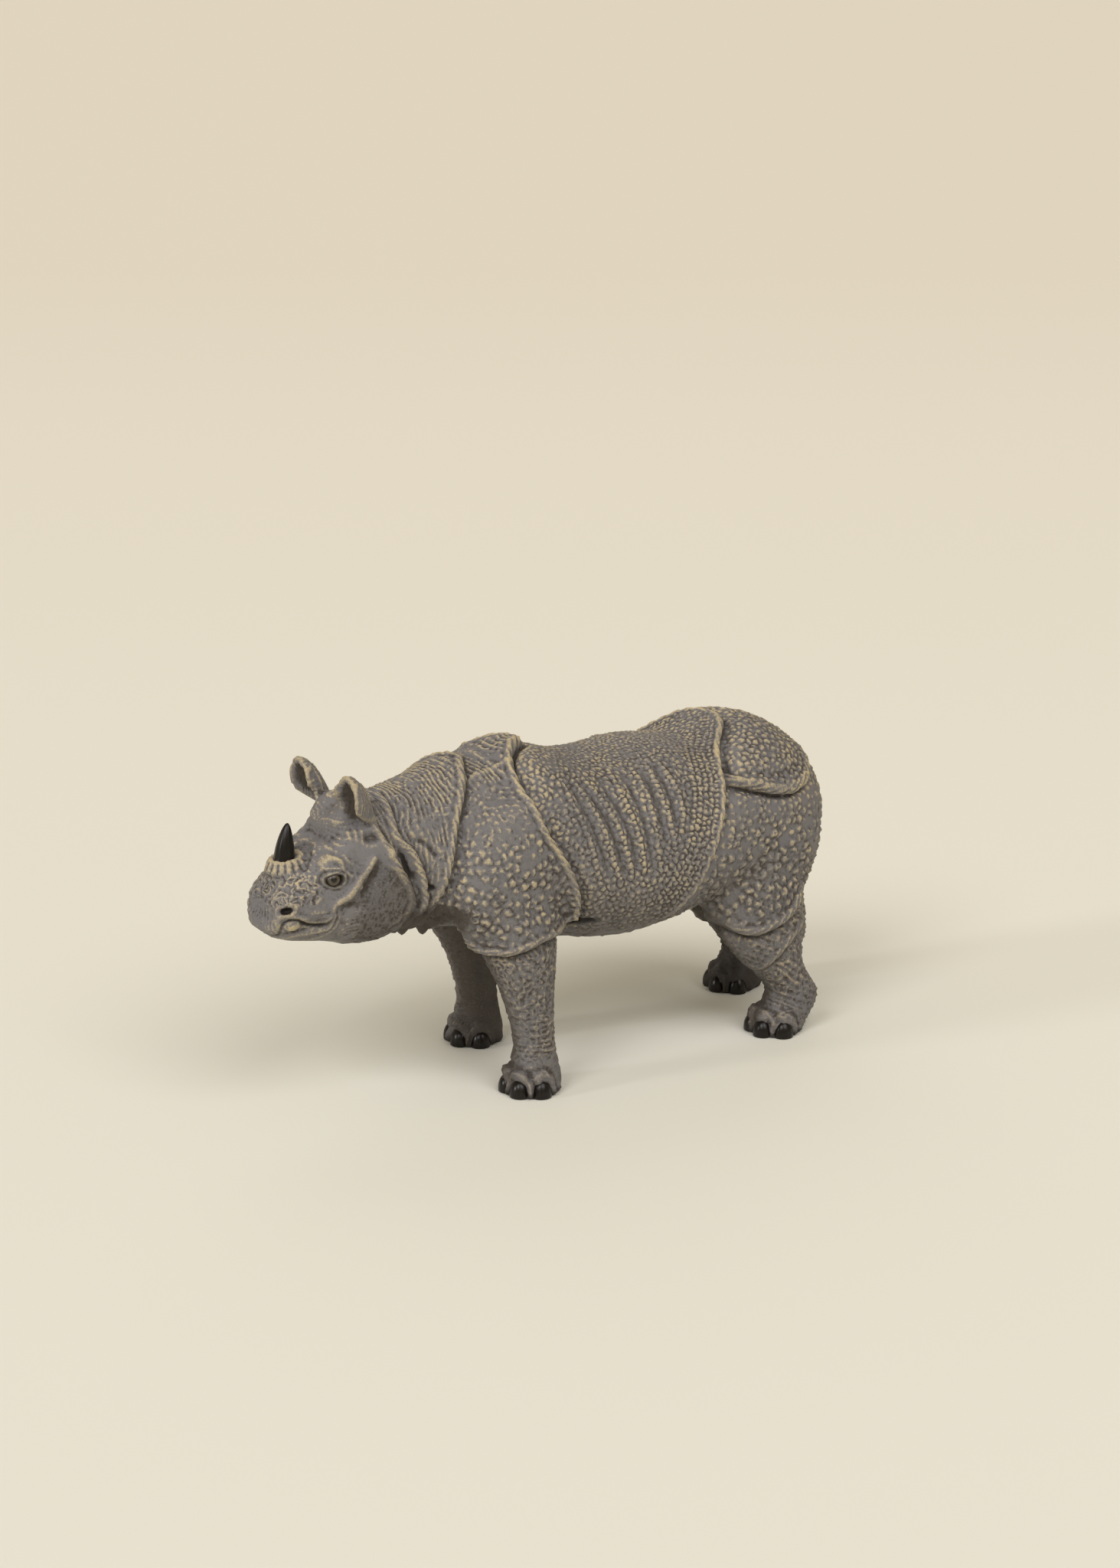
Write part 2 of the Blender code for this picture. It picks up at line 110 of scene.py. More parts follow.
def value_noise(places: np.ndarray, seed: int) -> np.ndarray:
    """Smooth noise from -1 to 1, with one new value for each unit of length.

    Args:
        places: Rows of x, y and z.
        seed: Picks the pattern.

    Returns:
        One value a row.
    """
    base = np.floor(places)
    share = places - base
    share = share * share * (3.0 - 2.0 * share)
    total = np.zeros(len(places))
    for corner in np.ndindex(2, 2, 2):
        offset = np.array(corner)
        weight = np.prod(np.where(offset, share, 1.0 - share), axis=1)
        total += weight * hashed(base + offset, seed)
    return 2.0 * total - 1.0


def rough_noise(places: np.ndarray, size: float, octaves: int, seed: int) -> np.ndarray:
    """Noise in several sizes, each half as wide and half as strong as the one before.

    Args:
        places: Rows of x, y and z.
        size: Width of the widest noise.
        octaves: How many sizes.
        seed: Picks the pattern.

    Returns:
        One value a row, from -1 to 1.
    """
    total = np.zeros(len(places))
    for octave in range(octaves):
        total += value_noise(places * 2.0**octave / size, seed + 17 * octave) * 0.5**octave
    return total / (2.0 - 0.5 ** (octaves - 1))


def smoothed(points: Line, per_span: int = 4) -> np.ndarray:
    """A smooth line through the points, with a few more between each two of them.

    Args:
        points: The line's corners.
        per_span: How many places are made from one corner to the next.

    Returns:
        The line's places, one a row.
    """
    rows = np.array(points, float)
    ends = np.vstack([2 * rows[0] - rows[1], rows, 2 * rows[-1] - rows[-2]])
    made = []
    for before, start, end, after in zip(ends, ends[1:], ends[2:], ends[3:]):
        for share in np.arange(per_span) / per_span:
            made.append(
                0.5 * (2 * start + (end - before) * share
                       + (2 * before - 5 * start + 4 * end - after) * share**2
                       + (3 * start - before - 3 * end + after) * share**3)
            )
    return np.array([*made, rows[-1]])


def linear(colour: str) -> tuple[float, float, float, float]:
    """An sRGB hex colour as the linear colour that Blender mixes."""
    parts = [int(colour[i : i + 2], 16) / 255 for i in (1, 3, 5)]
    return (*[p / 12.92 if p <= 0.04045 else ((p + 0.055) / 1.055) ** 2.4 for p in parts], 1.0)


def select_only(piece: bpy.types.Object) -> None:
    """Deselect everything but one piece, and make it the active one.

    Args:
        piece: The piece.
    """
    bpy.ops.object.select_all(action="DESELECT")
    piece.select_set(True)
    bpy.context.view_layer.objects.active = piece


def apply_modifier(piece: bpy.types.Object, kind: str, **settings: Any) -> None:
    """Give a piece one modifier and make its result the piece's mesh.

    Args:
        piece: The piece.
        kind: The modifier's type.
        **settings: The modifier's own properties.
    """
    select_only(piece)
    modifier = piece.modifiers.new(kind.lower(), kind)
    for name, value in settings.items():
        setattr(modifier, name, value)
    bpy.ops.object.modifier_apply(modifier=modifier.name)


def to_metres(place: Sequence[float]) -> Vector:
    """A place in figure millimetres as one in the frame's metres."""
    return Vector([(value - shift) * MM for value, shift in zip(place, FIGURE_SHIFT)])


def to_figure(place: Vector) -> Vector:
    """A place in the frame's metres as one in figure millimetres."""
    return Vector([value / MM + shift for value, shift in zip(place, FIGURE_SHIFT)])


def settled(name: str) -> bpy.types.Object:
    """Name the new primitive and put its place into its mesh.

    Args:
        name: The piece's name.

    Returns:
        The piece.
    """
    piece = bpy.context.object
    piece.name = name
    piece.data.name = name
    bpy.ops.object.transform_apply(location=True, rotation=True, scale=True)
    return piece


def add_node(tree: bpy.types.NodeTree, kind: str, inputs: dict[Any, Any] | None = None,
             **settings: Any) -> bpy.types.Node:
    """Add a shader node.

    Args:
        tree: The material's node tree.
        kind: The node's type.
        inputs: Values, or sockets to link, by the input's name or number.
        **settings: The node's own properties.

    Returns:
        The node.
    """
    node = tree.nodes.new(kind)
    for name, value in settings.items():
        setattr(node, name, value)
    for name, value in (inputs or {}).items():
        if isinstance(value, bpy.types.NodeSocket):
            tree.links.new(value, node.inputs[name])
        else:
            node.inputs[name].default_value = value
    return node


def new_material(name: str) -> tuple[bpy.types.Material, bpy.types.NodeTree, bpy.types.Node]:
    """A new material with its node tree and its Principled shader.

    Args:
        name: The material's name.

    Returns:
        The material, its tree and the shader.
    """
    material = bpy.data.materials.new(name)
    material.use_nodes = True
    tree = material.node_tree
    return material, tree, tree.nodes["Principled BSDF"]


def wear(piece: bpy.types.Object, material: bpy.types.Material) -> None:
    """Give a piece one material and smooth shading.

    Args:
        piece: The piece.
        material: The material.
    """
    piece.data.materials.clear()
    piece.data.materials.append(material)
    select_only(piece)
    bpy.ops.object.shade_smooth()


def hand_over(piece: bpy.types.Object) -> None:
    """Let a finished piece ride on the figure's body.

    Args:
        piece: The piece.
    """
    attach(piece, BODY)
    LOG.info("%s: %d faces", piece.name, len(piece.data.polygons))


@dataclass(frozen=True)
class MattePvcPaint:
    """Moulded grey PVC, painted by hand: matte, dark washes and painted shade in the creases, tan drybrush on
    the tops.
    """

    grey: str = "#7b7775"
    cool_grey: str = "#6d6c71"
    wash_and_shade_brown: str = "#3b332b"
    tan: str = "#b7a67f"
    pale_tan: str = "#d0c09a"
    pit_shade: str = "#1b1613"
    roughness: float = 0.62
    patch_mm: float = 9.0
    fleck_mm: float = 0.42
    grain_mm: float = 0.22
    crinkle_mm: float = 1.5

    def make(self) -> bpy.types.Material:
        """Build the paint from the hide's attributes and fine noise.

        Returns:
            The material.
        """
        material, tree, shader = new_material("moulded_pvc_drybrush_and_painted_shade")
        place = add_node(tree, "ShaderNodeTexCoord").outputs["Object"]
        patches = add_node(tree, "ShaderNodeTexNoise",
                           {"Vector": place, "Scale": 1 / (self.patch_mm * MM), "Detail": 3.0})
        # Bristles leave flecks, so the edge of the drybrush breaks up at less than half a millimetre.
        flecks = add_node(tree, "ShaderNodeTexNoise", {"Vector": place, "Scale": 1 / (self.fleck_mm * MM),
                                                       "Detail": 4.0, "Roughness": 0.65})
        grain = add_node(tree, "ShaderNodeTexNoise", {"Vector": place, "Scale": 1 / (self.grain_mm * MM),
                                                      "Detail": 3.0, "Roughness": 0.6})
        # The fine net of creases that all thick hide has, caught by the brush along its edges.
        crinkle = add_node(tree, "ShaderNodeTexNoise",
                           {"Vector": place, "Scale": 1 / (self.crinkle_mm * MM), "Detail": 3.0, "Gain": 1.6},
                           noise_type="RIDGED_MULTIFRACTAL")
        net = add_node(tree, "ShaderNodeMapRange", {"Value": crinkle.outputs["Fac"], "From Min": 0.5,
                                                    "From Max": 1.6, "To Max": 0.3})
        # Tan drybrush on the tops, with more on up-facing parts as painted top light.
        raised = add_node(tree, "ShaderNodeAttribute", attribute_name="raised").outputs["Fac"]
        # Dark washes in the hollows together with broad painted shade, read from the hide.
        wash_and_shade = add_node(tree, "ShaderNodeAttribute", attribute_name="wash_and_shade").outputs["Fac"]
        # Near-black painted shade in pits, creases, nostrils and round the eyes.
        pit_shade = add_node(tree, "ShaderNodeAttribute", attribute_name="pit_shade").outputs["Fac"]
        body = add_node(tree, "ShaderNodeMix", {"Factor": patches.outputs["Fac"], 6: linear(self.grey),
                                                7: linear(self.cool_grey)}, data_type="RGBA")
        broken = add_node(tree, "ShaderNodeMath", {0: flecks.outputs["Fac"], 1: 1.4, 2: -0.7},
                          operation="MULTIPLY_ADD")
        netted = add_node(tree, "ShaderNodeMath", {0: raised, 1: net.outputs[0]}, operation="ADD")
        brushed = add_node(tree, "ShaderNodeMath", {0: netted.outputs[0], 1: broken.outputs[0]},
                           operation="ADD")
        tops = add_node(tree, "ShaderNodeMapRange", {"Value": brushed.outputs[0], "From Min": 0.28,
                                                     "From Max": 0.92, "To Max": 0.84})
        pooled_and_shaded = add_node(tree, "ShaderNodeMath", {0: wash_and_shade, 1: broken.outputs[0]}, operation="ADD")
        hollows = add_node(tree, "ShaderNodeMapRange",
                           {"Value": pooled_and_shaded.outputs[0], "From Min": 0.05, "From Max": 0.95, "To Max": 0.92})
        # One dark brown serves both the washes and the painted shade.
        washed_and_shaded = add_node(tree, "ShaderNodeMix", {"Factor": hollows.outputs[0], 6: body.outputs[2],
                                                  7: linear(self.wash_and_shade_brown)}, data_type="RGBA")
        tan = add_node(tree, "ShaderNodeMix", {"Factor": flecks.outputs["Fac"], 6: linear(self.tan),
                                               7: linear(self.pale_tan)}, data_type="RGBA")
        dusted = add_node(tree, "ShaderNodeMix", {"Factor": tops.outputs[0], 6: washed_and_shaded.outputs[2],
                                                  7: tan.outputs[2]}, data_type="RGBA")
        pitted = add_node(tree, "ShaderNodeMix", {"Factor": pit_shade, 6: dusted.outputs[2],
                                                  7: linear(self.pit_shade)}, data_type="RGBA")
        creased = add_node(tree, "ShaderNodeBump", {"Height": crinkle.outputs["Fac"], "Strength": 0.5,
                                                    "Distance": 0.09 * MM})
        bump = add_node(tree, "ShaderNodeBump", {"Height": grain.outputs["Fac"], "Strength": 0.35,
                                                 "Distance": 0.06 * MM, "Normal": creased.outputs["Normal"]})
        tree.links.new(pitted.outputs[2], shader.inputs["Base Color"])
        tree.links.new(bump.outputs["Normal"], shader.inputs["Normal"])
        shader.inputs["Roughness"].default_value = self.roughness
        shader.inputs["IOR"].default_value = 1.47
        return material


@dataclass(frozen=True)
class GlossBlackPaint:
    """Black enamel brushed over PVC: wet-looking gloss with faint brush strokes."""

    name: str = "brushed_black_enamel"
    black: str = "#120e0b"
    worn: str = "#2b241e"
    roughness: float = 0.3
    stroke_mm: float = 0.5

    def make(self) -> bpy.types.Material:
        """Build the enamel.

        Returns:
            The material.
        """
        material, tree, shader = new_material(self.name)
        place = add_node(tree, "ShaderNodeTexCoord").outputs["Object"]
        stretched = add_node(tree, "ShaderNodeMapping", {"Vector": place, "Scale": (1.0, 1.0, 0.2)})
        strokes = add_node(tree, "ShaderNodeTexNoise", {"Vector": stretched.outputs[0],
                                                        "Scale": 1 / (self.stroke_mm * MM), "Detail": 3.0})
        faded = add_node(tree, "ShaderNodeMapRange", {"Value": strokes.outputs["Fac"], "From Min": 0.55,
                                                      "From Max": 0.9})
        colour = add_node(tree, "ShaderNodeMix", {"Factor": faded.outputs[0], 6: linear(self.black),
                                                  7: linear(self.worn)}, data_type="RGBA")
        bump = add_node(tree, "ShaderNodeBump", {"Height": strokes.outputs["Fac"], "Strength": 0.25,
                                                 "Distance": 0.05 * MM})
        tree.links.new(colour.outputs[2], shader.inputs["Base Color"])
        tree.links.new(bump.outputs["Normal"], shader.inputs["Normal"])
        shader.inputs["Roughness"].default_value = self.roughness
        shader.inputs["Specular IOR Level"].default_value = 0.35
        return material


@dataclass(frozen=True)
class EyePaint:
    """Eyes dotted in by hand: a black pupil in a tan-brown iris, with a dark rim."""

    pupil: str = "#14100d"
    iris: str = "#4f4638"
    rim: str = "#1d1813"
    roughness: float = 0.3

    def make(self) -> bpy.types.Material:
        """Build rings of paint from each eye's distance from its middle.

        Returns:
            The material.
        """
        material, tree, shader = new_material("dotted_eye_enamel")
        middle = add_node(tree, "ShaderNodeAttribute", attribute_name="from_pupil").outputs["Fac"]
        inner = add_node(tree, "ShaderNodeMapRange", {"Value": middle, "From Min": 0.36, "From Max": 0.46})
        outer = add_node(tree, "ShaderNodeMapRange", {"Value": middle, "From Min": 0.7, "From Max": 0.84})
        iris = add_node(tree, "ShaderNodeMix", {"Factor": inner.outputs[0], 6: linear(self.pupil),
                                                7: linear(self.iris)}, data_type="RGBA")
        whole = add_node(tree, "ShaderNodeMix", {"Factor": outer.outputs[0], 6: iris.outputs[2],
                                                 7: linear(self.rim)}, data_type="RGBA")
        tree.links.new(whole.outputs[2], shader.inputs["Base Color"])
        shader.inputs["Roughness"].default_value = self.roughness
        shader.inputs["IOR"].default_value = 1.5
        return material


@dataclass(frozen=True)
class StudioPaper:
    """A cream paper sweep, coated and matte, with painted light: a little lighter towards the window than at
    the back.
    """

    near: str = "#f0f0e6"
    far: str = "#e8e2d3"
    away: tuple[float, float, float] = (-0.58, -0.815, 0.0)
    near_m: float = -0.3
    far_m: float = 1.3

    def make(self) -> bpy.types.Material:
        """Build the paper.

        Returns:
            The material.
        """
        material, tree, shader = new_material("coated_cream_paper")
        place = add_node(tree, "ShaderNodeTexCoord").outputs["Object"]
        # The dot product is how far back on the paper a place lies, in metres.
        depth = add_node(tree, "ShaderNodeVectorMath", {0: place, 1: self.away}, operation="DOT_PRODUCT")
        share = add_node(tree, "ShaderNodeMapRange", {"Value": depth.outputs["Value"],
                                                      "From Min": self.near_m, "From Max": self.far_m})
        # Painted light falloff: the paper darkens towards the back, as if less light reached it.
        colour = add_node(tree, "ShaderNodeMix", {"Factor": share.outputs[0], 6: linear(self.near),
                                                  7: linear(self.far)}, data_type="RGBA")
        tree.links.new(colour.outputs[2], shader.inputs["Base Color"])
        shader.inputs["Roughness"].default_value = 0.85
        shader.inputs["Specular IOR Level"].default_value = 0.2
        return material


@dataclass
class Skin:
    """The points of the fine hide in figure millimetres, and how they are joined."""

    places: np.ndarray
    normals: np.ndarray
    edges: np.ndarray
    zones: dict[Zone, np.ndarray] = field(default_factory=dict)
    x: np.ndarray = field(init=False)
    y: np.ndarray = field(init=False)
    z: np.ndarray = field(init=False)
    side: np.ndarray = field(init=False)
    angle: np.ndarray = field(init=False)
    around: np.ndarray = field(init=False)

    @classmethod
    def read(cls, piece: bpy.types.Object) -> "Skin":
        """Take the points, normals and edges of a piece.

        Args:
            piece: The piece, in metres at the origin.

        Returns:
            The skin.
        """
        mesh = piece.data
        places = np.empty(len(mesh.vertices) * 3, np.float32)
        mesh.vertices.foreach_get("co", places)
        normals = np.empty(len(mesh.vertices) * 3, np.float32)
        mesh.vertex_normals.foreach_get("vector", normals)
        edges = np.empty(len(mesh.edges) * 2, np.int32)
        mesh.edges.foreach_get("vertices", edges)
        figure = places.reshape(-1, 3).astype(float) / MM + FIGURE_SHIFT
        return cls(figure, normals.reshape(-1, 3).astype(float), edges.reshape(-1, 2))

    def write(self, piece: bpy.types.Object) -> None:
        """Put the points back into the piece, in metres.

        Args:
            piece: The piece that the skin was read from.
        """
        metres = (self.places - FIGURE_SHIFT) * MM
        piece.data.vertices.foreach_set("co", metres.astype(np.float32).ravel())
        piece.data.update()

    def blurred(self, values: np.ndarray, rounds: int) -> np.ndarray:
        """Values averaged with their neighbours again and again.

        Args:
            values: A number or a vector for each point.
            rounds: How often.

        Returns:
            The smooth values.
        """
        count = len(self.places)
        first, second = self.edges.T
        joined = np.bincount(first, minlength=count) + np.bincount(second, minlength=count)
        columns = np.array(values, float).reshape(count, -1)
        for _ in range(rounds):
            for number in range(columns.shape[1]):
                column = columns[:, number]
                total = np.bincount(first, column[second], count) + np.bincount(second, column[first], count)
                columns[:, number] = 0.5 * column + 0.5 * total / joined
        return columns.reshape(np.shape(values))

    def __post_init__(self) -> None:
        """Lay the skin out as soon as it is read."""
        self.lay_out()

    def lay_out(self) -> None:
        """Measure the skin for the lines that are drawn on it."""
        self.x, self.y, self.z = self.places.T.copy()
        self.side = np.abs(self.y)
        self.angle = np.degrees(np.arctan2(self.z - TRUNK_AXIS_HEIGHT, self.side))
        self.around = TRUNK_RADIUS * np.radians(90.0 - self.angle)

    def laid_out(self, layout: Layout, right_shift: float = 0.0) -> np.ndarray:
        """Flat places of all points, with the right side's moved along if its leg stands elsewhere.

        Args:
            layout: How the hide is laid out flat.
            right_shift: How far the right side's lines lie further along.

        Returns:
            Rows of two distances in millimetres.
        """
        x = self.x - np.where(self.y < 0, right_shift, 0.0)
        if layout is Layout.ROUND:
            return np.stack([x, TRUNK_RADIUS * np.radians(self.angle)], axis=1)
        return np.stack([x, self.z], axis=1)

    def follow(self, points: Line, layout: Layout, right_shift: float = 0.0,
               reach: float = 9.0) -> tuple[np.ndarray, np.ndarray, float]:
        """Measure every point against a smooth line.

        Args:
            points: The line's corners.
            layout: How it is laid out.
            right_shift: How far the line lies further along on the right side.
            reach: Points further off than this aren't measured.

        Returns:
            Distances from the line, positive on its left, how far along it each point lies, and its length.
        """
        flat = self.laid_out(layout, right_shift)
        if layout is Layout.ROUND:
            points = [(x, TRUNK_RADIUS * math.radians(angle)) for x, angle in points]
        curve = smoothed(points)
        signed = np.full(len(flat), 99.0)
        run = np.zeros(len(flat))
        near = np.all((flat > curve.min(axis=0) - reach) & (flat < curve.max(axis=0) + reach), axis=1)
        found, nearest, travelled = np.full(near.sum(), 99.0), np.zeros(near.sum()), 0.0
        for start, end in zip(curve, curve[1:]):
            step = end - start
            length = float(np.hypot(*step))
            offset = flat[near] - start
            share = np.clip(offset @ step / length**2, 0.0, 1.0)
            gap = offset - share[:, None] * step
            distance = np.hypot(gap[:, 0], gap[:, 1])
            turn = np.where(step[0] * offset[:, 1] - step[1] * offset[:, 0] < 0, -1.0, 1.0)
            closer = distance < np.abs(found)
            found[closer] = (distance * turn)[closer]
            nearest[closer] = (travelled + share * length)[closer]
            travelled += length
        signed[near], run[near] = found, nearest
        return signed, run, travelled

    def ahead_of(self, points: Line) -> np.ndarray:
        """How far each point lies in front of a line round the trunk."""
        rows = sorted(points, key=lambda row: row[1])
        return self.x - np.interp(self.angle, [row[1] for row in rows], [row[0] for row in rows])

    def above(self, points: Line, right_shift: float = 0.0) -> np.ndarray:
        """How far each point lies above a line seen from the side."""
        x = self.x - np.where(self.y < 0, right_shift, 0.0)
        return self.z - np.interp(x, [row[0] for row in points], [row[1] for row in points])


@dataclass(frozen=True)
class Fold:
    """One overlap of the hide: its line, rope-like lip and dark crease."""

    points: Line
    layout: Layout
    lip: float
    crease: float
    strand: float = 1.05
    clear: float = 0.0
    right_shift: float = 0.0
    girth: float = 1.0
    lay: float = 3.2

    def carve(self, skin: Skin) -> tuple[np.ndarray, np.ndarray]:
        """Work out the fold's relief.

        Args:
            skin: The skin to carve.

        Returns:
            Its rise in millimetres, and how near each point is to the lip.
        """
        signed, run, length = skin.follow(self.points, self.layout, self.right_shift)
        ends = np.clip(np.minimum(run, length - run) / 2.5, 0.0, 1.0)
        # A fold that starts beyond the top of the back runs over it without a break.
        if self.points[0][1] > 90:
            ends = np.clip((length - run) / 2.5, 0.0, 1.0)
        present = ends * soft_step(self.clear, self.clear + 1.5, skin.side) if self.clear else ends
        # The strands run nearly along the rope and only slowly round it.
        twist = np.cos(2 * math.pi * (signed / self.strand + run / self.lay)
                       + 1.6 * value_noise(skin.places / 1.7, 5))
        rope = hump(signed - 0.8 * self.girth, 0.78 * self.girth) * (0.64 + 0.36 * twist)
        crack = hump(signed + 0.42, 0.38) + 0.35 * hump(signed - 2.1 * self.girth, 0.5)
        rise = present * (self.lip * rope - self.crease * crack)
        return rise, present * hump(signed - 0.7 * self.girth, 1.1 * self.girth)


SHOULDER_PLATE = ((28, 92), (34, 82), (38, 73), (39.4, 60), (39, 47), (37.6, 32), (34, 18), (31, 3),
                  (28.8, -14), (28, -32), (29.5, -46))
BARREL_PLATE = ((-23.5, 92), (-21, 75), (-15.6, 60), (-12, 41), (-9.9, 27), (-7.3, 13), (-4.8, 1),
                (-1.5, -13), (2, -25), (7, -38))
NECK_FOLD = ((45.5, 92), (49, 78), (51.6, 66), (55.2, 52), (57.1, 40), (58.5, 25), (60.3, 3), (62.5, -18))
COLLAR_FOLD = ((68.4, 88), (69.4, 55), (66.5, 41), (64.2, 17), (63.4, -13), (66, -30))
JAW_FOLD = ((75, 74), (73.6, 58), (71, 40), (67.8, 15), (66.6, -11), (71, -32))
RUMP_FOLD = ((-40.6, 65.9), (-39.9, 61.6), (-36.6, 58.9), (-30.3, 57.6), (-24, 58.5), (-18, 60.4),
             (-12, 62.2))
SHOULDER_HEM = ((27.5, 39), (34, 36.4), (41, 35.8), (47, 34), (52.5, 34), (57.5, 37.4), (62.5, 43))
KNEE_FOLD = ((-34.5, 35), (-32, 31.8), (-28, 29), (-23, 27.2), (-18.6, 26.4), (-14.4, 27.6), (-12, 30.2))
SHIN_FOLD = ((-36, 26), (-32, 24.8), (-28, 22.4), (-25, 19.4), (-22, 15.8))
KNEE_SHIFT = -4.5
SHIN_SHIFT = -9.5

FOLDS = (
    Fold(SHOULDER_PLATE, Layout.ROUND, 0.5, 0.7),
    Fold(BARREL_PLATE, Layout.ROUND, 0.45, 0.7, girth=0.85),
    Fold(NECK_FOLD, Layout.ROUND, 0.5, 0.6),
    Fold(COLLAR_FOLD, Layout.ROUND, 0.4, 0.6),
    Fold(JAW_FOLD, Layout.ROUND, 0.3, 0.5),
    Fold(RUMP_FOLD, Layout.SIDE, 0.75, 0.5, clear=5.0, girth=1.35),
    Fold(SHOULDER_HEM, Layout.SIDE, 0.4, 0.7, clear=11.0),
    Fold(KNEE_FOLD, Layout.SIDE, 0.4, 0.6, clear=8.0, right_shift=KNEE_SHIFT, girth=1.2),
    Fold(SHIN_FOLD, Layout.SIDE, 0.35, 0.45, clear=8.0, right_shift=SHIN_SHIFT),
)


@dataclass(frozen=True)
class Stroke:
    """A raised ridge or a sunken line drawn on both sides of the figure; negative tan lays near-black painted
    shade in it.
    """

    points: Line
    width: float
    height: float
    layout: Layout = Layout.SIDE
    clear: float = 3.0
    tan: float = 0.0

    def carve(self, skin: Skin) -> tuple[np.ndarray, np.ndarray]:
        """Work out the stroke's relief.

        Args:
            skin: The skin.

        Returns:
            Its rise in millimetres, and how near each point is to it.
        """
        signed, run, length = skin.follow(self.points, self.layout, reach=4 * self.width)
        taper = np.clip(np.minimum(run, length - run) / (2.0 * self.width) + 0.25, 0.0, 1.0)
        near = hump(signed, self.width) * taper * soft_step(self.clear - 1.0, self.clear + 1.0, skin.side)
        return self.height * near, near


@dataclass
class Ribs:
    """The rows of ridges down the flank, with smooth furrows between them."""

    ridges: Sequence[Line] = (
        ((29.8, 60), (29.2, 42), (27.3, 27), (26.4, 12), (24.6, -5)),
        ((26.6, 56), (25, 42), (23.2, 26), (22, 12), (19.6, -7)),
        ((23.4, 57), (21.6, 43), (19.8, 30), (18.5, 17), (16.8, -5)),
        ((15.2, 61), (15.9, 45), (15.1, 32), (14.6, 18), (13.8, -2)),
        ((9.3, 59), (9.4, 40), (9.8, 26), (9.9, 11), (9.6, -5)),
        ((5.2, 60), (5.9, 40), (5.7, 27), (5.5, 8)),
        ((2.4, 66), (2.0, 53), (1.2, 40), (1.9, 28), (3.2, 16)),
    )
    ridge_height: float = 0.2
    ridge_width: float = 0.8
    furrow_depth: float = 0.3
    furrow_width: float = 0.86

    def furrows(self) -> list[Line]:
        """Lines midway between each two ridges.

        Returns:
            A line for each furrow, from high to low.
        """
        lines = []
        for front, back in zip(self.ridges, self.ridges[1:]):
            top = min(front[0][1], back[0][1])
            low = max(front[-1][1], back[-1][1])
            angles = np.linspace(top, low, 6)
            xs = [np.interp(-angles, [-row[1] for row in line], [row[0] for row in line])
                  for line in (front, back)]
            lines.append([(x, angle) for x, angle in zip((xs[0] + xs[1]) / 2, angles)])
        return lines

    def carve(self, skin: Skin) -> tuple[np.ndarray, np.ndarray, np.ndarray]:
        """Work out the ribs.

        Args:
            skin: The skin to carve.

        Returns:
            The rise, how smooth the hide is in the furrows, and each point's place in a row of pebbles
            on a ridge, or -1 off the rows.
        """
        rise = np.zeros(len(skin.x))
        calm = np.zeros(len(skin.x))
        row = np.full(len(skin.x), -1.0)
        for number, line in enumerate(self.ridges):
            signed, run, length = skin.follow(line, Layout.ROUND)
            ends = np.clip(np.minimum(run, length - run) / 3.0, 0.0, 1.0)
            rise = np.maximum(rise, self.ridge_height * ends * hump(signed, self.ridge_width))
            on_row = (np.abs(signed) < ROW_HALF_WIDTH) & (run > 0.3) & (run < length - 0.3)
            row[on_row] = 100.0 * number + run[on_row]
        for line in self.furrows():
            signed, run, length = skin.follow(line, Layout.ROUND)
            ends = np.clip(np.minimum(run, length - run) / 6.0, 0.0, 1.0)
            rise -= self.furrow_depth * ends * hump(signed, self.furrow_width)
            calm = np.maximum(calm, np.minimum(2.0 * ends, 1.0) * hump(signed, 0.95 * self.furrow_width))
        return rise, calm, row


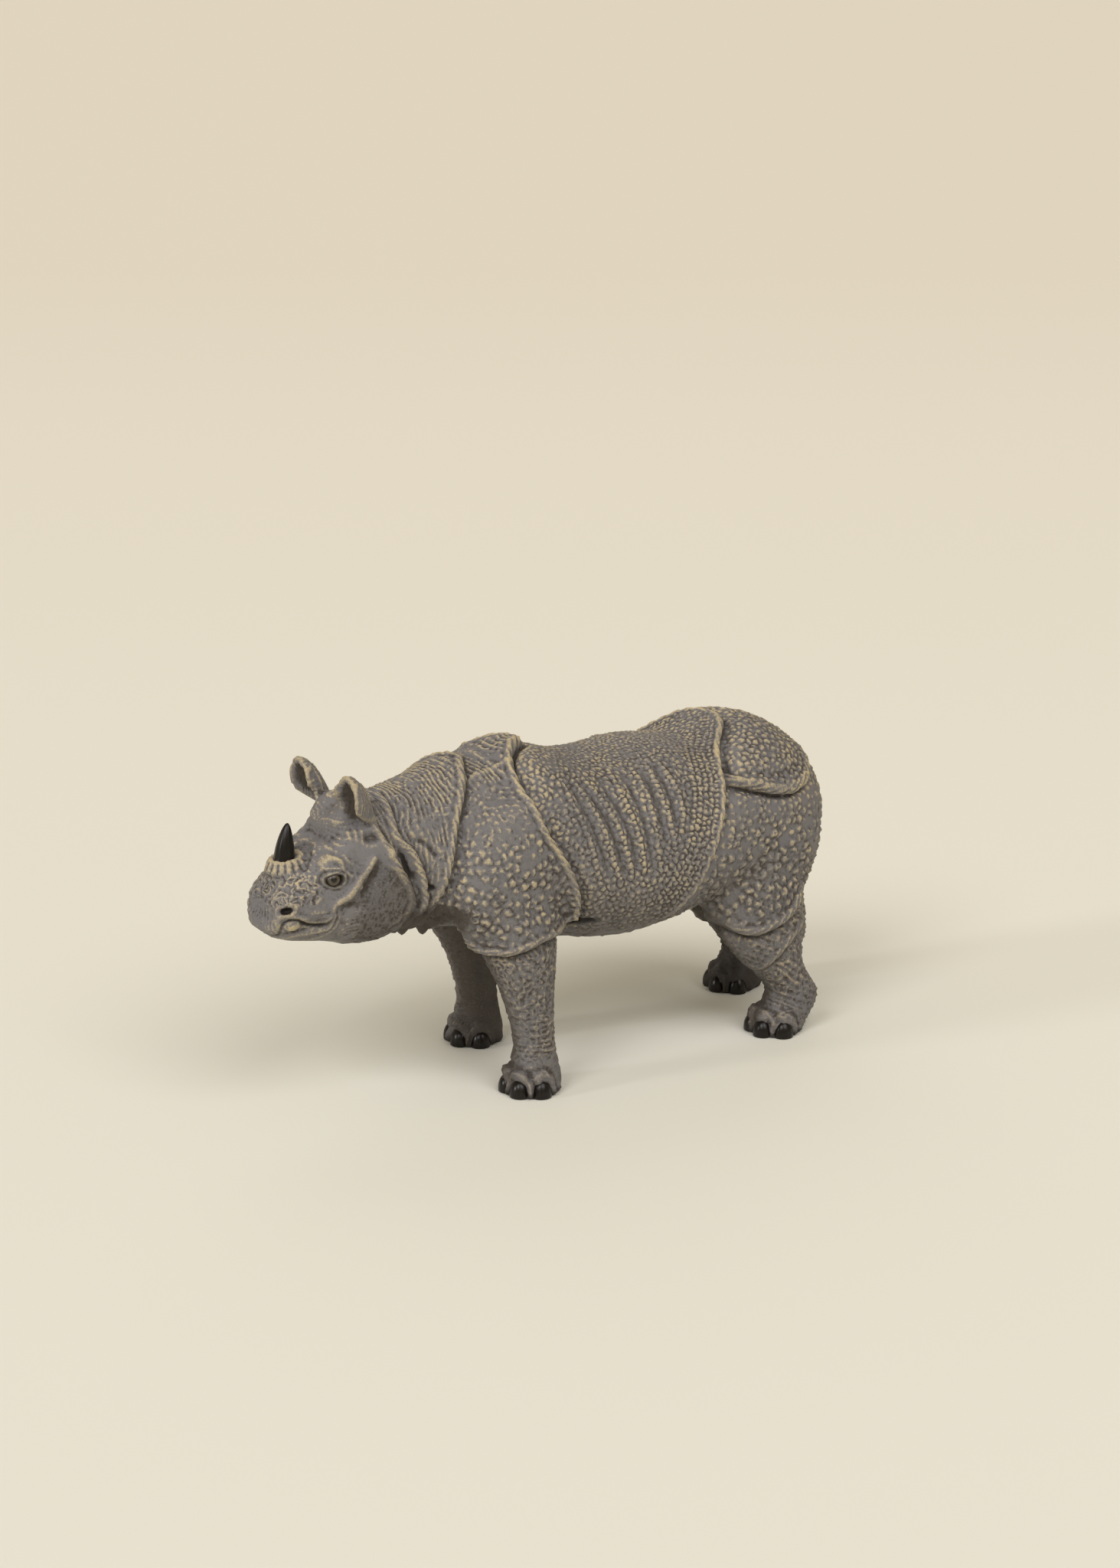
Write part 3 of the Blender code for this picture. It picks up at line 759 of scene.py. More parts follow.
@dataclass
class Pebbles:
    """Knobs and plates all over the hide, each planted at its own place on the surface."""

    seed: int = 11
    brick_rows: int = 5
    brick_start: float = 2.1
    brick_spacing: float = 1.4

    def beds(self, skin: Skin) -> tuple[np.ndarray, np.ndarray, np.ndarray, np.ndarray]:
        """How the pebbles change over the figure.

        Args:
            skin: The skin with its zones.

        Returns:
            Spacing and height in millimetres, flatness from 0 for round to 1 for plates, and the share
            that is there at all.
        """
        zone = skin.zones
        down = soft_step(69.0, 48.0, skin.z)
        low_leg = soft_step(19.0, 14.0, skin.z)
        back = soft_step(50.0, 70.0, skin.angle)
        haunch = soft_step(57.0, 45.0, skin.z)
        snout = soft_step(84.0, 88.0, skin.x)
        beds = {
            Zone.HEAD: (1.0, 0.045 + 0.09 * snout, 0.3, 0.8),
            Zone.COLLAR: (1.2, 0.09, 0.2, 0.8),
            Zone.NECK: (1.2, 0.06, 0.2, 0.7),
            Zone.SHOULDER: (1.3 + 0.62 * down, 0.28 + 0.42 * down, 0.0, 0.5 + 0.42 * down),
            Zone.BARREL: (1.32 - 0.1 * back, 0.46 - 0.1 * back, 0.35, 1.0),
            Zone.BELLY: (1.4, 0.2, 0.4, 0.9),
            Zone.RUMP: (1.45, 0.48, 0.3, 1.0),
            Zone.THIGH: (1.6 + 0.55 * haunch, 0.5 + 0.22 * haunch, 0.0, 0.9),
            Zone.FORELEG: (1.3 + 0.3 * low_leg, 0.24 - 0.16 * low_leg, 0.6, 0.9),
            Zone.HIND_LEG: (1.35, 0.17, 0.6, 0.9),
        }
        total = sum(zone[name] for name in beds)
        mixed = [sum(zone[name] * row[column] for name, row in beds.items()) / total for column in range(4)]
        return mixed[0], mixed[1], mixed[2], mixed[3]

    def plant(self, skin: Skin, spacing: np.ndarray, row: np.ndarray) -> np.ndarray:
        """Choose the pebbles' middles: first along the rows, then anywhere that is still free.

        Args:
            skin: The skin.
            spacing: How far apart they stand, at each point.
            row: Each point's place in a row, or -1.

        Returns:
            The numbers of the points that are middles.
        """
        tree = KDTree(len(skin.places))
        for number, place in enumerate(skin.places):
            tree.insert(place, number)
        tree.balance()
        chance = np.random.default_rng(self.seed).random(len(row))
        order = np.argsort(np.where(row >= 0, row, 1e6 * (1.0 + chance)))
        taken = np.zeros(len(row), bool)
        middles = []
        for number in order:
            if taken[number]:
                continue
            middles.append(number)
            for _, near, _ in tree.find_range(skin.places[number], 0.88 * spacing[number]):
                taken[near] = True
        return np.array(middles)

    def carve(self, skin: Skin, row: np.ndarray, calm: np.ndarray) -> np.ndarray:
        """Raise a dome or a plate round each middle.

        Args:
            skin: The skin with its zones.
            row: Each point's place in a row, or -1.
            calm: Where the hide stays smooth, from 0 to 1.

        Returns:
            The rise in millimetres.
        """
        spacing, height, flatness, share = self.beds(skin)
        middles = self.plant(skin, spacing, row)
        rng = np.random.default_rng(self.seed + 1)
        size = spacing[middles] * (0.85 + 0.3 * rng.random(len(middles)))
        there = rng.random(len(middles)) < share[middles]
        strength = np.where(there, 0.65 + 0.5 * rng.random(len(middles)), 0.12)
        strength = np.where(row[middles] >= 0, 1.35, strength)
        tree = KDTree(len(middles))
        for number, middle in enumerate(middles):
            tree.insert(skin.places[middle], number)
        tree.balance()
        # A little warp keeps the borders between the pebbles from running dead straight.
        warp = np.stack([value_noise(skin.places / 0.8, 31 + axis) for axis in range(3)], axis=1)
        warped = skin.places + 0.27 * warp * spacing[:, None]
        gaps = np.empty((len(warped), 3))
        owners = np.empty((len(warped), 3), int)
        for number, place in enumerate(warped):
            for rank, (_, owner, gap) in enumerate(tree.find_n(place, 3)):
                gaps[number, rank] = gap
                owners[number, rank] = owner
        gaps /= size[owners]
        ranks = np.argsort(gaps, axis=1)
        gaps = np.take_along_axis(gaps, ranks, axis=1)
        owner = owners[np.arange(len(owners)), ranks[:, 0]]
        dome = soft_step(0.64, 0.0, gaps[:, 0])
        plate = soft_step(0.02, 0.34, gaps[:, 1] - gaps[:, 0])
        form = dome * (1.0 - flatness) + plate * flatness
        LOG.info("pebbles: %d", len(middles))
        return height * (1.0 - 0.9 * calm) * strength[owner] * form


@dataclass
class Wrinkles:
    """Fine lines and nets of creases in the hide: on the neck, head, shoulder, legs and belly."""

    seed: int = 71

    def lines(self, skin: Skin, across: np.ndarray, along: np.ndarray, period: float, length: float,
              seed: int) -> np.ndarray:
        """Wavy broken ridges.

        Args:
            skin: The skin.
            across: Distance measured over the lines, in millimetres.
            along: Distance measured along them.
            period: Distance from line to line.
            length: How long a line runs before it breaks.
            seed: Picks the pattern.

        Returns:
            The ridges, from 0 to 1.
        """
        flat = np.stack([across / (3 * period), along / length, skin.y / 40.0], axis=1)
        bend = value_noise(flat, self.seed + seed)
        wave = 0.5 + 0.5 * np.cos(2 * math.pi * across / period + 7.0 * bend)
        broken = value_noise(flat * (3.0, 1.3, 1.0) + 9.3, self.seed + seed + 1)
        return wave**1.3 * soft_step(-0.75, 0.15, broken)

    def net(self, skin: Skin, size: float, seed: int) -> np.ndarray:
        """Thin ridges that meet in an irregular net.

        Args:
            skin: The skin.
            size: Width of the net's cells in millimetres.
            seed: Picks the pattern.

        Returns:
            The ridges, from 0 to 1.
        """
        slow = skin.places / (1.7 * size)
        bend = np.stack([value_noise(slow, self.seed + seed + axis) for axis in range(3)], axis=1)
        bent = skin.places / size + 0.45 * bend
        wide = 1.0 - 3.2 * np.abs(value_noise(bent, self.seed + seed + 3))
        fine = 1.0 - 3.0 * np.abs(value_noise(1.8 * bent + 4.7, self.seed + seed + 4))
        return np.clip(np.maximum(wide, 0.75 * fine), 0.0, 1.0)

    def carve(self, skin: Skin) -> np.ndarray:
        """Work out all the wrinkles.

        Args:
            skin: The skin with its zones.

        Returns:
            The rise in millimetres.
        """
        zone = skin.zones
        x, y, z, side, around = skin.x, skin.y, skin.z, skin.side, skin.around
        head, neck, collar = zone[Zone.HEAD], zone[Zone.NECK], zone[Zone.COLLAR]
        shoulder, foreleg, hind_leg = zone[Zone.SHOULDER], zone[Zone.FORELEG], zone[Zone.HIND_LEG]
        crest = soft_step(58.0, 70.0, skin.angle) * shoulder
        ankle = soft_step(21.0, 17.0, z) * soft_step(8.0, 10.5, z) * foreleg
        brow = soft_step(77.0, 79.5, x) * soft_step(55.5, 58.0, z) * soft_step(10.0, 8.0, side) * head
        snout = soft_step(86.5, 89.5, x) * soft_step(49.2, 50.6, z) * soft_step(56.4, 55.4, z)
        cheek = soft_step(81.0, 79.0, x) * soft_step(57.0, 54.0, z) * head
        jaw = soft_step(84.5, 82.5, x) * soft_step(48.0, 45.5, z) * head
        tip = soft_step(95.2, 96.4, x) * soft_step(50.5, 48.5, z)
        throat = soft_step(56.0, 58.0, x) * soft_step(70.5, 68.5, x) * soft_step(48.0, 44.0, z)
        tail = (x < -44.5) & (side < 4.5) & (z < 58)
        arched = z + 0.06 * (side - 3.7) ** 2
        round_tail = 2.6 * np.arctan2(y, -47.0 - x)
        # Height in millimetres where the lines run, distance over them, distance along them, distance from
        # line to line, length of a line, and seed.
        sets = (
            (0.26 * neck, x + 0.05 * around, around, 1.25, 7.0, 1),
            (0.14 * neck, x - 0.15 * around, around, 0.95, 4.0, 2),
            (0.2 * collar, x + 0.1 * around, around, 1.3, 6.0, 4),
            (0.34 * crest, x + 0.25 * around, around, 1.5, 8.0, 7),
            (0.24 * ankle, z, x + y, 1.5, 3.0, 10),
            (0.2 * hind_leg, z - 0.5 * x, x + y, 1.6, 5.0, 13),
            (0.2 * zone[Zone.BELLY], x, y, 1.8, 6.0, 16),
            (0.11 * brow, arched, y, 1.05, 5.0, 19),
            (0.1 * cheek, x + 0.35 * z, z, 1.05, 5.0, 28),
            (0.1 * jaw, z + 0.3 * x, x, 1.1, 4.0, 31),
            (0.14 * tip, side + 0.25 * z, z, 1.2, 5.0, 34),
            (0.9 * throat, x + 0.3 * side, z, 3.0, 9.0, 37),
            (0.2 * tail, round_tail, z, 0.8, 9.0, 22),
        )
        rise = -0.45 * throat
        for height, across, along, period, length, seed in sets:
            rise += height * self.lines(skin, across, along, period, length, seed)
        high = soft_step(48.0, 62.0, z)
        wide = 0.2 * neck + 0.12 * collar + 0.2 * high * shoulder + 0.33 * foreleg + 0.31 * hind_leg
        fine = 0.38 * snout + 0.09 * head + 0.12 * cheek + 0.12 * jaw
        return rise + wide * self.net(skin, 1.9, 50) + fine * self.net(skin, 1.45, 60)


@dataclass
class Face:
    """Eyelids, brow, nostrils, lips, cheek ridge and the knobbed boss under the horn."""

    eye: tuple[float, float, float] = (85.0, 10.6, 54.9)
    lid_half_width: float = 2.0
    lid_half_height: float = 1.5
    boss_axis: float = 91.4
    boss_knobs: int = 15
    nostril: tuple[float, float] = (95.4, 49.2)
    nostril_size: tuple[float, float] = (1.3, 0.7)
    lip_spot: tuple[float, float] = (93.7, 45.4)
    lip_spot_size: tuple[float, float] = (1.9, 1.0)
    wart: tuple[float, float, float] = (86.6, 3.7, 59.9)
    muzzle_push: float = 1.3
    jaw_drop: float = 1.2
    rim_drop: float = 0.7
    # Pits sunk and painted with near-black shade: x, z, half length, half height and how dark the painted
    # shade is.
    hollows: Sequence[tuple[float, float, float, float, float]] = (
        (76.2, 62.8, 2.2, 1.5, 0.12), (63.3, 50.1, 1.2, 0.9, 0.9), (26.6, 36.8, 4.4, 1.1, 1.0),
    )
    strokes: Sequence[Stroke] = (
        Stroke(((75.6, 59.1), (76.5, 58), (77.8, 56.4), (79.3, 54.9), (80.6, 53.3), (81.6, 51.9),
                (82.6, 50.9), (84.1, 50.1), (85.2, 49.2), (85.6, 47.6)), 0.62, 0.55, tan=0.6),
        Stroke(((79.8, 53.9), (79.4, 51.5), (80.3, 49.9)), 0.5, 0.3, tan=0.3),
        Stroke(((75, 56.6), (77.1, 53.6), (78.3, 51.2), (79.1, 48.8), (82.5, 48.9), (83.9, 47.6)), 1.1, -0.4),
        Stroke(((96.7, 43.1), (96.4, 44.8), (96.9, 46.8), (96.1, 47.7), (95.1, 48), (93.6, 47.6), (91, 46.5),
                (88.4, 45.9), (86.8, 46), (85.7, 46.9)), 0.42, 0.45, clear=1.0, tan=0.6),
        Stroke(((96.2, 42.4), (96.3, 43.6), (96.3, 45.8), (95.5, 46.9), (94.4, 47.2), (93.1, 46.9),
                (90.7, 45.5), (88.1, 44.8), (86.3, 44.9)), 0.42, -0.7, clear=1.0, tan=-0.8),
        Stroke(((95.6, 42.4), (93.7, 42.9), (91.5, 43.2), (89.2, 43.4), (86.6, 43.6), (85.5, 44.4),
                (85, 46.1), (85, 47.6)), 0.42, 0.36, clear=1.0, tan=0.5),
        Stroke(((91.5, 41.3), (89.4, 41.5), (87.4, 41.9), (85.6, 42.8), (84.3, 44.3), (83.8, 46.1),
                (84, 48.1)), 0.42, 0.32, clear=1.0, tan=0.45),
        Stroke(((96, 43.8), (95.2, 43.9), (93.5, 44), (91.8, 44.3), (89.8, 44.5)), 0.4, -0.3, clear=1.0),
        Stroke(((93.4, 48.8), (90.9, 47.8), (88, 47.4), (85.9, 48)), 0.45, -0.3),
        Stroke(((87.2, 56.9), (86.7, 57.9), (85.8, 58.9), (84.8, 59.3), (83.7, 58.8), (83.1, 57.8)),
               0.6, 0.6, clear=5.0, tan=0.6),
        Stroke(((87, 59.6), (86.2, 60.6), (85, 61), (83.6, 60.6)), 0.6, 0.25, clear=4.0, tan=0.25),
        Stroke(((83.6, 58.5), (83.2, 57.1), (82.1, 55.8), (80.5, 55.2)), 0.42, 0.28, clear=5.0, tan=0.2),
        Stroke(((82.6, 59.8), (81.9, 58.5), (80.4, 57.6)), 0.42, 0.26, clear=5.0, tan=0.2),
        Stroke(((77, 67.1), (74.2, 66), (72.8, 64.4), (71.9, 62.6), (71.7, 60.4), (72.5, 59), (72.6, 57.5)),
               0.85, 0.5, tan=0.5),
        Stroke(((80, 64.3), (80.4, 62.2)), 0.42, 0.34, clear=5.0, tan=0.3),
        Stroke(((78.7, 64.8), (79.2, 61.9)), 0.42, 0.34, clear=5.0, tan=0.3),
        Stroke(((77.6, 64.6), (78, 61.7)), 0.42, 0.34, clear=5.0, tan=0.3),
        Stroke(((66, 61.1), (64.4, 60.3), (63, 58.8), (61.7, 56.5)), 0.6, -0.7, tan=-0.12),
        Stroke(((69.9, 59), (69, 56.7), (68.2, 54.7), (67.2, 52.4)), 0.55, -0.7, tan=-0.95),
        Stroke(((73.2, 56.8), (71.7, 55.7), (70.4, 53.4), (69, 51.4), (68.3, 49.1), (68.7, 45.7),
                (70.3, 44.3), (72.3, 43.1)), 0.55, 0.35, tan=0.5),
        Stroke(((-13.5, 64.7), (-18.3, 64), (-23.9, 62.9), (-29.6, 62.3), (-34.5, 62.8)), 1.1, -0.45,
               clear=6.0),
        Stroke(((51.5, 70), (48.5, 72), (45.7, 72), (40.7, 72.6), (38.6, 71.5)), 0.7, 0.45, Layout.ROUND,
               tan=0.5),
    )

    def shape(self, skin: Skin) -> None:
        """Round off the muzzle, lower the jaw and the boss's rim, and bring the crown out over a notch.

        Args:
            skin: The skin, whose points move.
        """
        front = soft_step(91.5, 94.5, skin.x) * soft_step(49.0, 47.0, skin.z)
        smooth = skin.blurred(skin.places, 90)
        skin.places += front[:, None] * (smooth - skin.places)
        full = front * soft_step(8.0, 5.0, skin.side)
        skin.places[:, 0] += self.muzzle_push * full * hump(skin.z - 44.6, 1.9)
        skin.places[:, 2] -= self.jaw_drop * hump(skin.x - 75.5, 5.0) * soft_step(50.0, 42.0, skin.z)
        reach = np.hypot(skin.x - self.boss_axis, skin.y)
        rim = soft_step(2.8, 4.4, reach) * soft_step(6.5, 5.5, reach) * soft_step(56.0, 57.5, skin.z)
        skin.places[:, 2] -= self.rim_drop * rim
        crown = soft_step(7.5, 4.5, skin.side) * soft_step(78.0, 80.5, skin.x)
        bump = 0.6 * hump(skin.z - 65.6, 1.3) - 1.0 * hump(skin.z - 62.9, 1.3)
        skin.places += (crown * bump)[:, None] * skin.normals

    def carve(self, skin: Skin) -> tuple[np.ndarray, np.ndarray, np.ndarray]:
        """Work out the face.

        Args:
            skin: The skin.

        Returns:
            The rise, where extra tan goes, and where near-black painted shade goes.
        """
        rise, tan, pit_shade = (np.zeros(len(skin.x)) for _ in range(3))
        for stroke in self.strokes:
            lift, near = stroke.carve(skin)
            rise += lift
            tan = np.maximum(tan, stroke.tan * near)
            # A stroke with negative tan gets near-black painted shade in its crease.
            pit_shade = np.maximum(pit_shade, -stroke.tan * soft_step(0.45, 0.95, near))
        for x, z, along, up, dark in self.hollows:
            away = np.hypot((skin.x - x) / along, (skin.z - z) / up)
            there = soft_step(5.0, 7.0, skin.side)
            rise -= 0.9 * there * soft_step(1.2, 0.2, away)
            # Painted shade darkens each hollow.
            pit_shade = np.maximum(pit_shade, dark * there * soft_step(1.25, 0.6, away))
        self.open_eye(skin, rise, pit_shade)
        self.ring_boss(skin, rise, tan)
        # The nostril's long way slopes down towards the front.
        forward, higher = skin.x - self.nostril[0], skin.z - self.nostril[1]
        along = (0.87 * forward - 0.5 * higher) / self.nostril_size[0]
        across = (0.5 * forward + 0.87 * higher) / self.nostril_size[1]
        away = np.hypot(along, across) + 9.0 * (skin.side < 5.2)
        rise += 0.3 * hump(away - 1.5, 0.35) - 1.1 * soft_step(1.05, 0.3, away)
        tan = np.maximum(tan, 0.6 * hump(away - 1.6, 0.35))
        # Near-black painted shade inside the nostril.
        pit_shade = np.maximum(pit_shade, soft_step(1.1, 0.8, away))
        spot = np.hypot((skin.x - self.lip_spot[0]) / self.lip_spot_size[0],
                        (skin.z - self.lip_spot[1]) / self.lip_spot_size[1]) + 9.0 * (skin.side < 3.0)
        rise += 0.5 * soft_step(1.15, 0.3, spot)
        tan = np.maximum(tan, 0.85 * soft_step(1.0, 0.7, spot))
        wart = np.hypot(skin.x - self.wart[0], np.hypot(skin.side - self.wart[1], skin.z - self.wart[2]))
        rise += 0.4 * soft_step(0.9, 0.2, wart)
        tan = np.maximum(tan, 0.7 * soft_step(0.8, 0.4, wart))
        return rise, tan, pit_shade

    def round_eye(self, skin: Skin) -> tuple[np.ndarray, np.ndarray]:
        """Each point's distance from the eye, 1 at the lids' edge, and its height over the eye."""
        over = (skin.z - self.eye[2]) / self.lid_half_height
        return np.hypot((skin.x - self.eye[0]) / self.lid_half_width, over), over

    def open_eye(self, skin: Skin, rise: np.ndarray, pit_shade: np.ndarray) -> None:
        """Sink the eye between two lids, with near-black painted shade round the eye and a faint shade line
        round the lids.

        Args:
            skin: The skin.
            rise: The rise so far, which is added to.
            pit_shade: Where the paint is nearly black, which is added to.
        """
        beside = soft_step(5.5, 7.5, skin.side) * (skin.x > 78)
        ring, over = self.round_eye(skin)
        upper = soft_step(-0.6, 0.5, over)
        rise += beside * (0.12 * hump(ring - 1.1, 0.14) - 0.14 * hump(ring - 1.42, 0.12)
                          + 0.2 * upper * hump(ring - 1.7, 0.15) - 1.0 * soft_step(0.95, 0.78, ring))
        # Painted shade: near black in the gap round the eye, faint in the groove round the lids.
        dark = np.maximum(0.12 * hump(ring - 1.42, 0.12), 0.95 * soft_step(1.08, 0.95, ring))
        np.maximum(pit_shade, beside * dark, out=pit_shade)

    def ring_boss(self, skin: Skin, rise: np.ndarray, tan: np.ndarray) -> None:
        """Set knobs in a ring round the horn's foot.

        Args:
            skin: The skin.
            rise: The rise so far, which is added to.
            tan: Where extra tan goes, which is added to.
        """
        turn = np.arctan2(skin.y, skin.x - self.boss_axis)
        reach = np.hypot(skin.x - self.boss_axis, skin.y)
        boss = hump(reach - 3.8, 1.3) * soft_step(55.6, 56.4, skin.z) * soft_step(59.0, 58.2, skin.z)
        knob = np.sqrt(np.abs(np.cos(0.5 * self.boss_knobs * turn)))
        rise += boss * (0.65 * knob - 0.4) - 0.3 * hump(skin.z - 55.2, 0.5) * (reach < 6.0)
        np.maximum(tan, 0.35 * boss * knob**2, out=tan)


@dataclass
class Horn:
    """The horn: gloss black, rising from the boss, with shallow grooves down its length."""

    base: tuple[float, float, float] = (91.6, 0.0, 55.6)
    base_radius: float = 2.55
    height: float = 10.5
    sides: int = 24
    lean_back: float = 1.0
    rings: Sequence[tuple[float, float]] = (
        (0.12, 1.06), (0.19, 1.06), (0.26, 0.95), (0.45, 0.86), (0.65, 0.7), (0.82, 0.5), (0.93, 0.32),
        (0.985, 0.15),
    )
    groove_depth: float = 0.12

    def axis(self, share: float) -> Vector:
        """The middle of the horn at a share of its height, in figure millimetres."""
        x, y, z = self.base
        return Vector((x - self.lean_back * share**2, y, z + self.height * share))

    def build(self) -> bpy.types.Object:
        """Extrude the horn ring by ring, groove it and round it off.

        Returns:
            The piece.
        """
        place = to_metres(self.axis(0.0))
        bpy.ops.object.select_all(action="DESELECT")
        bpy.ops.mesh.primitive_circle_add(vertices=self.sides, radius=self.base_radius * MM, fill_type="NGON",
                                          location=place)
        piece = settled("horn")
        bpy.ops.object.mode_set(mode="EDIT")
        bpy.ops.mesh.select_all(action="SELECT")
        before, scale = place, 1.0
        for share, width in (*self.rings, (1.0, 0.04)):
            here = to_metres(self.axis(share))
            bpy.ops.mesh.extrude_region_move(TRANSFORM_OT_translate={"value": here - before})
            bpy.ops.transform.resize(value=(width / scale,) * 2 + (1.0,), center_override=here)
            before, scale = here, width
        bpy.ops.object.mode_set(mode="OBJECT")
        self.groove(piece)
        bpy.ops.object.mode_set(mode="EDIT")
        bpy.ops.mesh.select_all(action="SELECT")
        bpy.ops.mesh.normals_make_consistent(inside=False)
        bpy.ops.object.mode_set(mode="OBJECT")
        apply_modifier(piece, "SUBSURF", levels=2, render_levels=2)
        return piece

    def groove(self, piece: bpy.types.Object) -> None:
        """Press every second column of points inwards along the horn.

        Args:
            piece: The horn, whose points move.
        """
        for point in piece.data.vertices:
            figure = to_figure(point.co)
            share = (figure.z - self.base[2]) / self.height
            middle = self.axis(share)
            turn = math.atan2(figure.y - middle.y, figure.x - middle.x)
            column = round(turn / (2 * math.pi) * self.sides)
            if column % 2 and 0.22 < share < 0.97:
                inwards = Vector((middle.x - figure.x, middle.y - figure.y, 0.0))
                point.co += inwards.normalized() * min(self.groove_depth, 0.3 * inwards.length) * MM


@dataclass
class Toenails:
    """Three gloss black nails on each foot, modelled once and copied."""

    feet: Sequence[tuple[float, float, float]] = (
        (39.2, 16.4, 26.0), (30.6, -18.4, 14.0), (-29.6, 16.4, 17.0), (-41.2, -14.4, 8.0),
    )
    spread: float = 55.0
    reach: float = 5.4
    half_width: float = 2.25
    half_depth: float = 1.95
    half_height: float = 3.2
    top: float = 4.0

    def model(self) -> bpy.types.Object:
        """Shape one nail standing on the ground at the origin, facing along x.

        Returns:
            The piece.
        """
        bpy.ops.object.select_all(action="DESELECT")
        bpy.ops.mesh.primitive_uv_sphere_add(segments=28, ring_count=18, radius=MM)
        piece = settled("toenail")
        bpy.ops.object.mode_set(mode="EDIT")
        bpy.ops.mesh.select_all(action="SELECT")
        bpy.ops.transform.resize(value=(self.half_depth, self.half_width, self.half_height))
        bpy.ops.transform.translate(value=(0.0, 0.0, (self.top - self.half_height) * MM))
        bpy.ops.mesh.bisect(plane_co=(0, 0, 0.02 * MM), plane_no=(0, 0, 1), use_fill=True, clear_inner=True)
        bpy.ops.mesh.select_all(action="SELECT")
        bpy.ops.mesh.normals_make_consistent(inside=False)
        bpy.ops.object.mode_set(mode="OBJECT")
        apply_modifier(piece, "BEVEL", width=0.25 * MM, segments=2, limit_method="ANGLE", angle_limit=0.7)
        return piece

    def places(self) -> list[tuple[float, float, float]]:
        """Middle of each nail on the ground and the way it faces, in figure millimetres and radians.

        Returns:
            Rows of x, y and heading.
        """
        rows = []
        for x, y, heading in self.feet:
            for turn in (-self.spread, 0.0, self.spread):
                way = math.radians(heading + turn)
                rows.append((x + self.reach * math.cos(way), y + self.reach * math.sin(way), way))
        return rows

    def build(self) -> list[bpy.types.Object]:
        """Copy the nail to all twelve toes, each with its own mesh.

        Returns:
            The pieces.
        """
        model = self.model()
        pieces = []
        for number, (x, y, way) in enumerate(self.places()):
            mesh = model.data.copy()
            mesh.transform(Matrix.Translation(to_metres((x, y, 0.0))) @ Matrix.Rotation(way, 4, "Z"))
            piece = bpy.data.objects.new(f"toenail_{number + 1:02d}", mesh)
            bpy.context.scene.collection.objects.link(piece)
            pieces.append(piece)
        bpy.data.objects.remove(model)
        return pieces


@dataclass
class Eyes:
    """Two small glossy eyeballs set between the lids."""

    middle: tuple[float, float, float] = (85.0, 9.2, 54.9)
    radii: tuple[float, float, float] = (1.8, 1.4, 1.6)
    gaze: tuple[float, float, float] = (0.45, 0.86, 0.22)

    def build(self) -> list[bpy.types.Object]:
        """Set one eyeball a side, and mark each point's distance from the pupil.

        Returns:
            The pieces.
        """
        pieces = []
        for name, sign in (("eye_left", 1.0), ("eye_right", -1.0)):
            bpy.ops.object.select_all(action="DESELECT")
            middle = Vector((self.middle[0], sign * self.middle[1], self.middle[2]))
            bpy.ops.mesh.primitive_uv_sphere_add(segments=32, ring_count=20, radius=MM,
                                                 location=to_metres(middle))
            piece = settled(name)
            bpy.ops.object.mode_set(mode="EDIT")
            bpy.ops.mesh.select_all(action="SELECT")
            bpy.ops.transform.resize(value=self.radii, center_override=to_metres(middle))
            bpy.ops.object.mode_set(mode="OBJECT")
            ring = piece.data.attributes.new("from_pupil", "FLOAT", "POINT")
            for point, value in zip(piece.data.vertices, ring.data):
                off = to_figure(point.co) - middle
                way = Vector((self.gaze[0], sign * self.gaze[1], self.gaze[2])).normalized()
                value.value = (off - way * off.dot(way)).length / self.radii[2] if off.dot(way) > 0 else 1.0
            pieces.append(piece)
        return pieces


@dataclass
class Marks:
    """Where paint goes that relief alone doesn't call for: extra tan, near-black painted shade, and broad
    painted shade.
    """

    tan: np.ndarray
    pit_shade: np.ndarray
    shade: np.ndarray


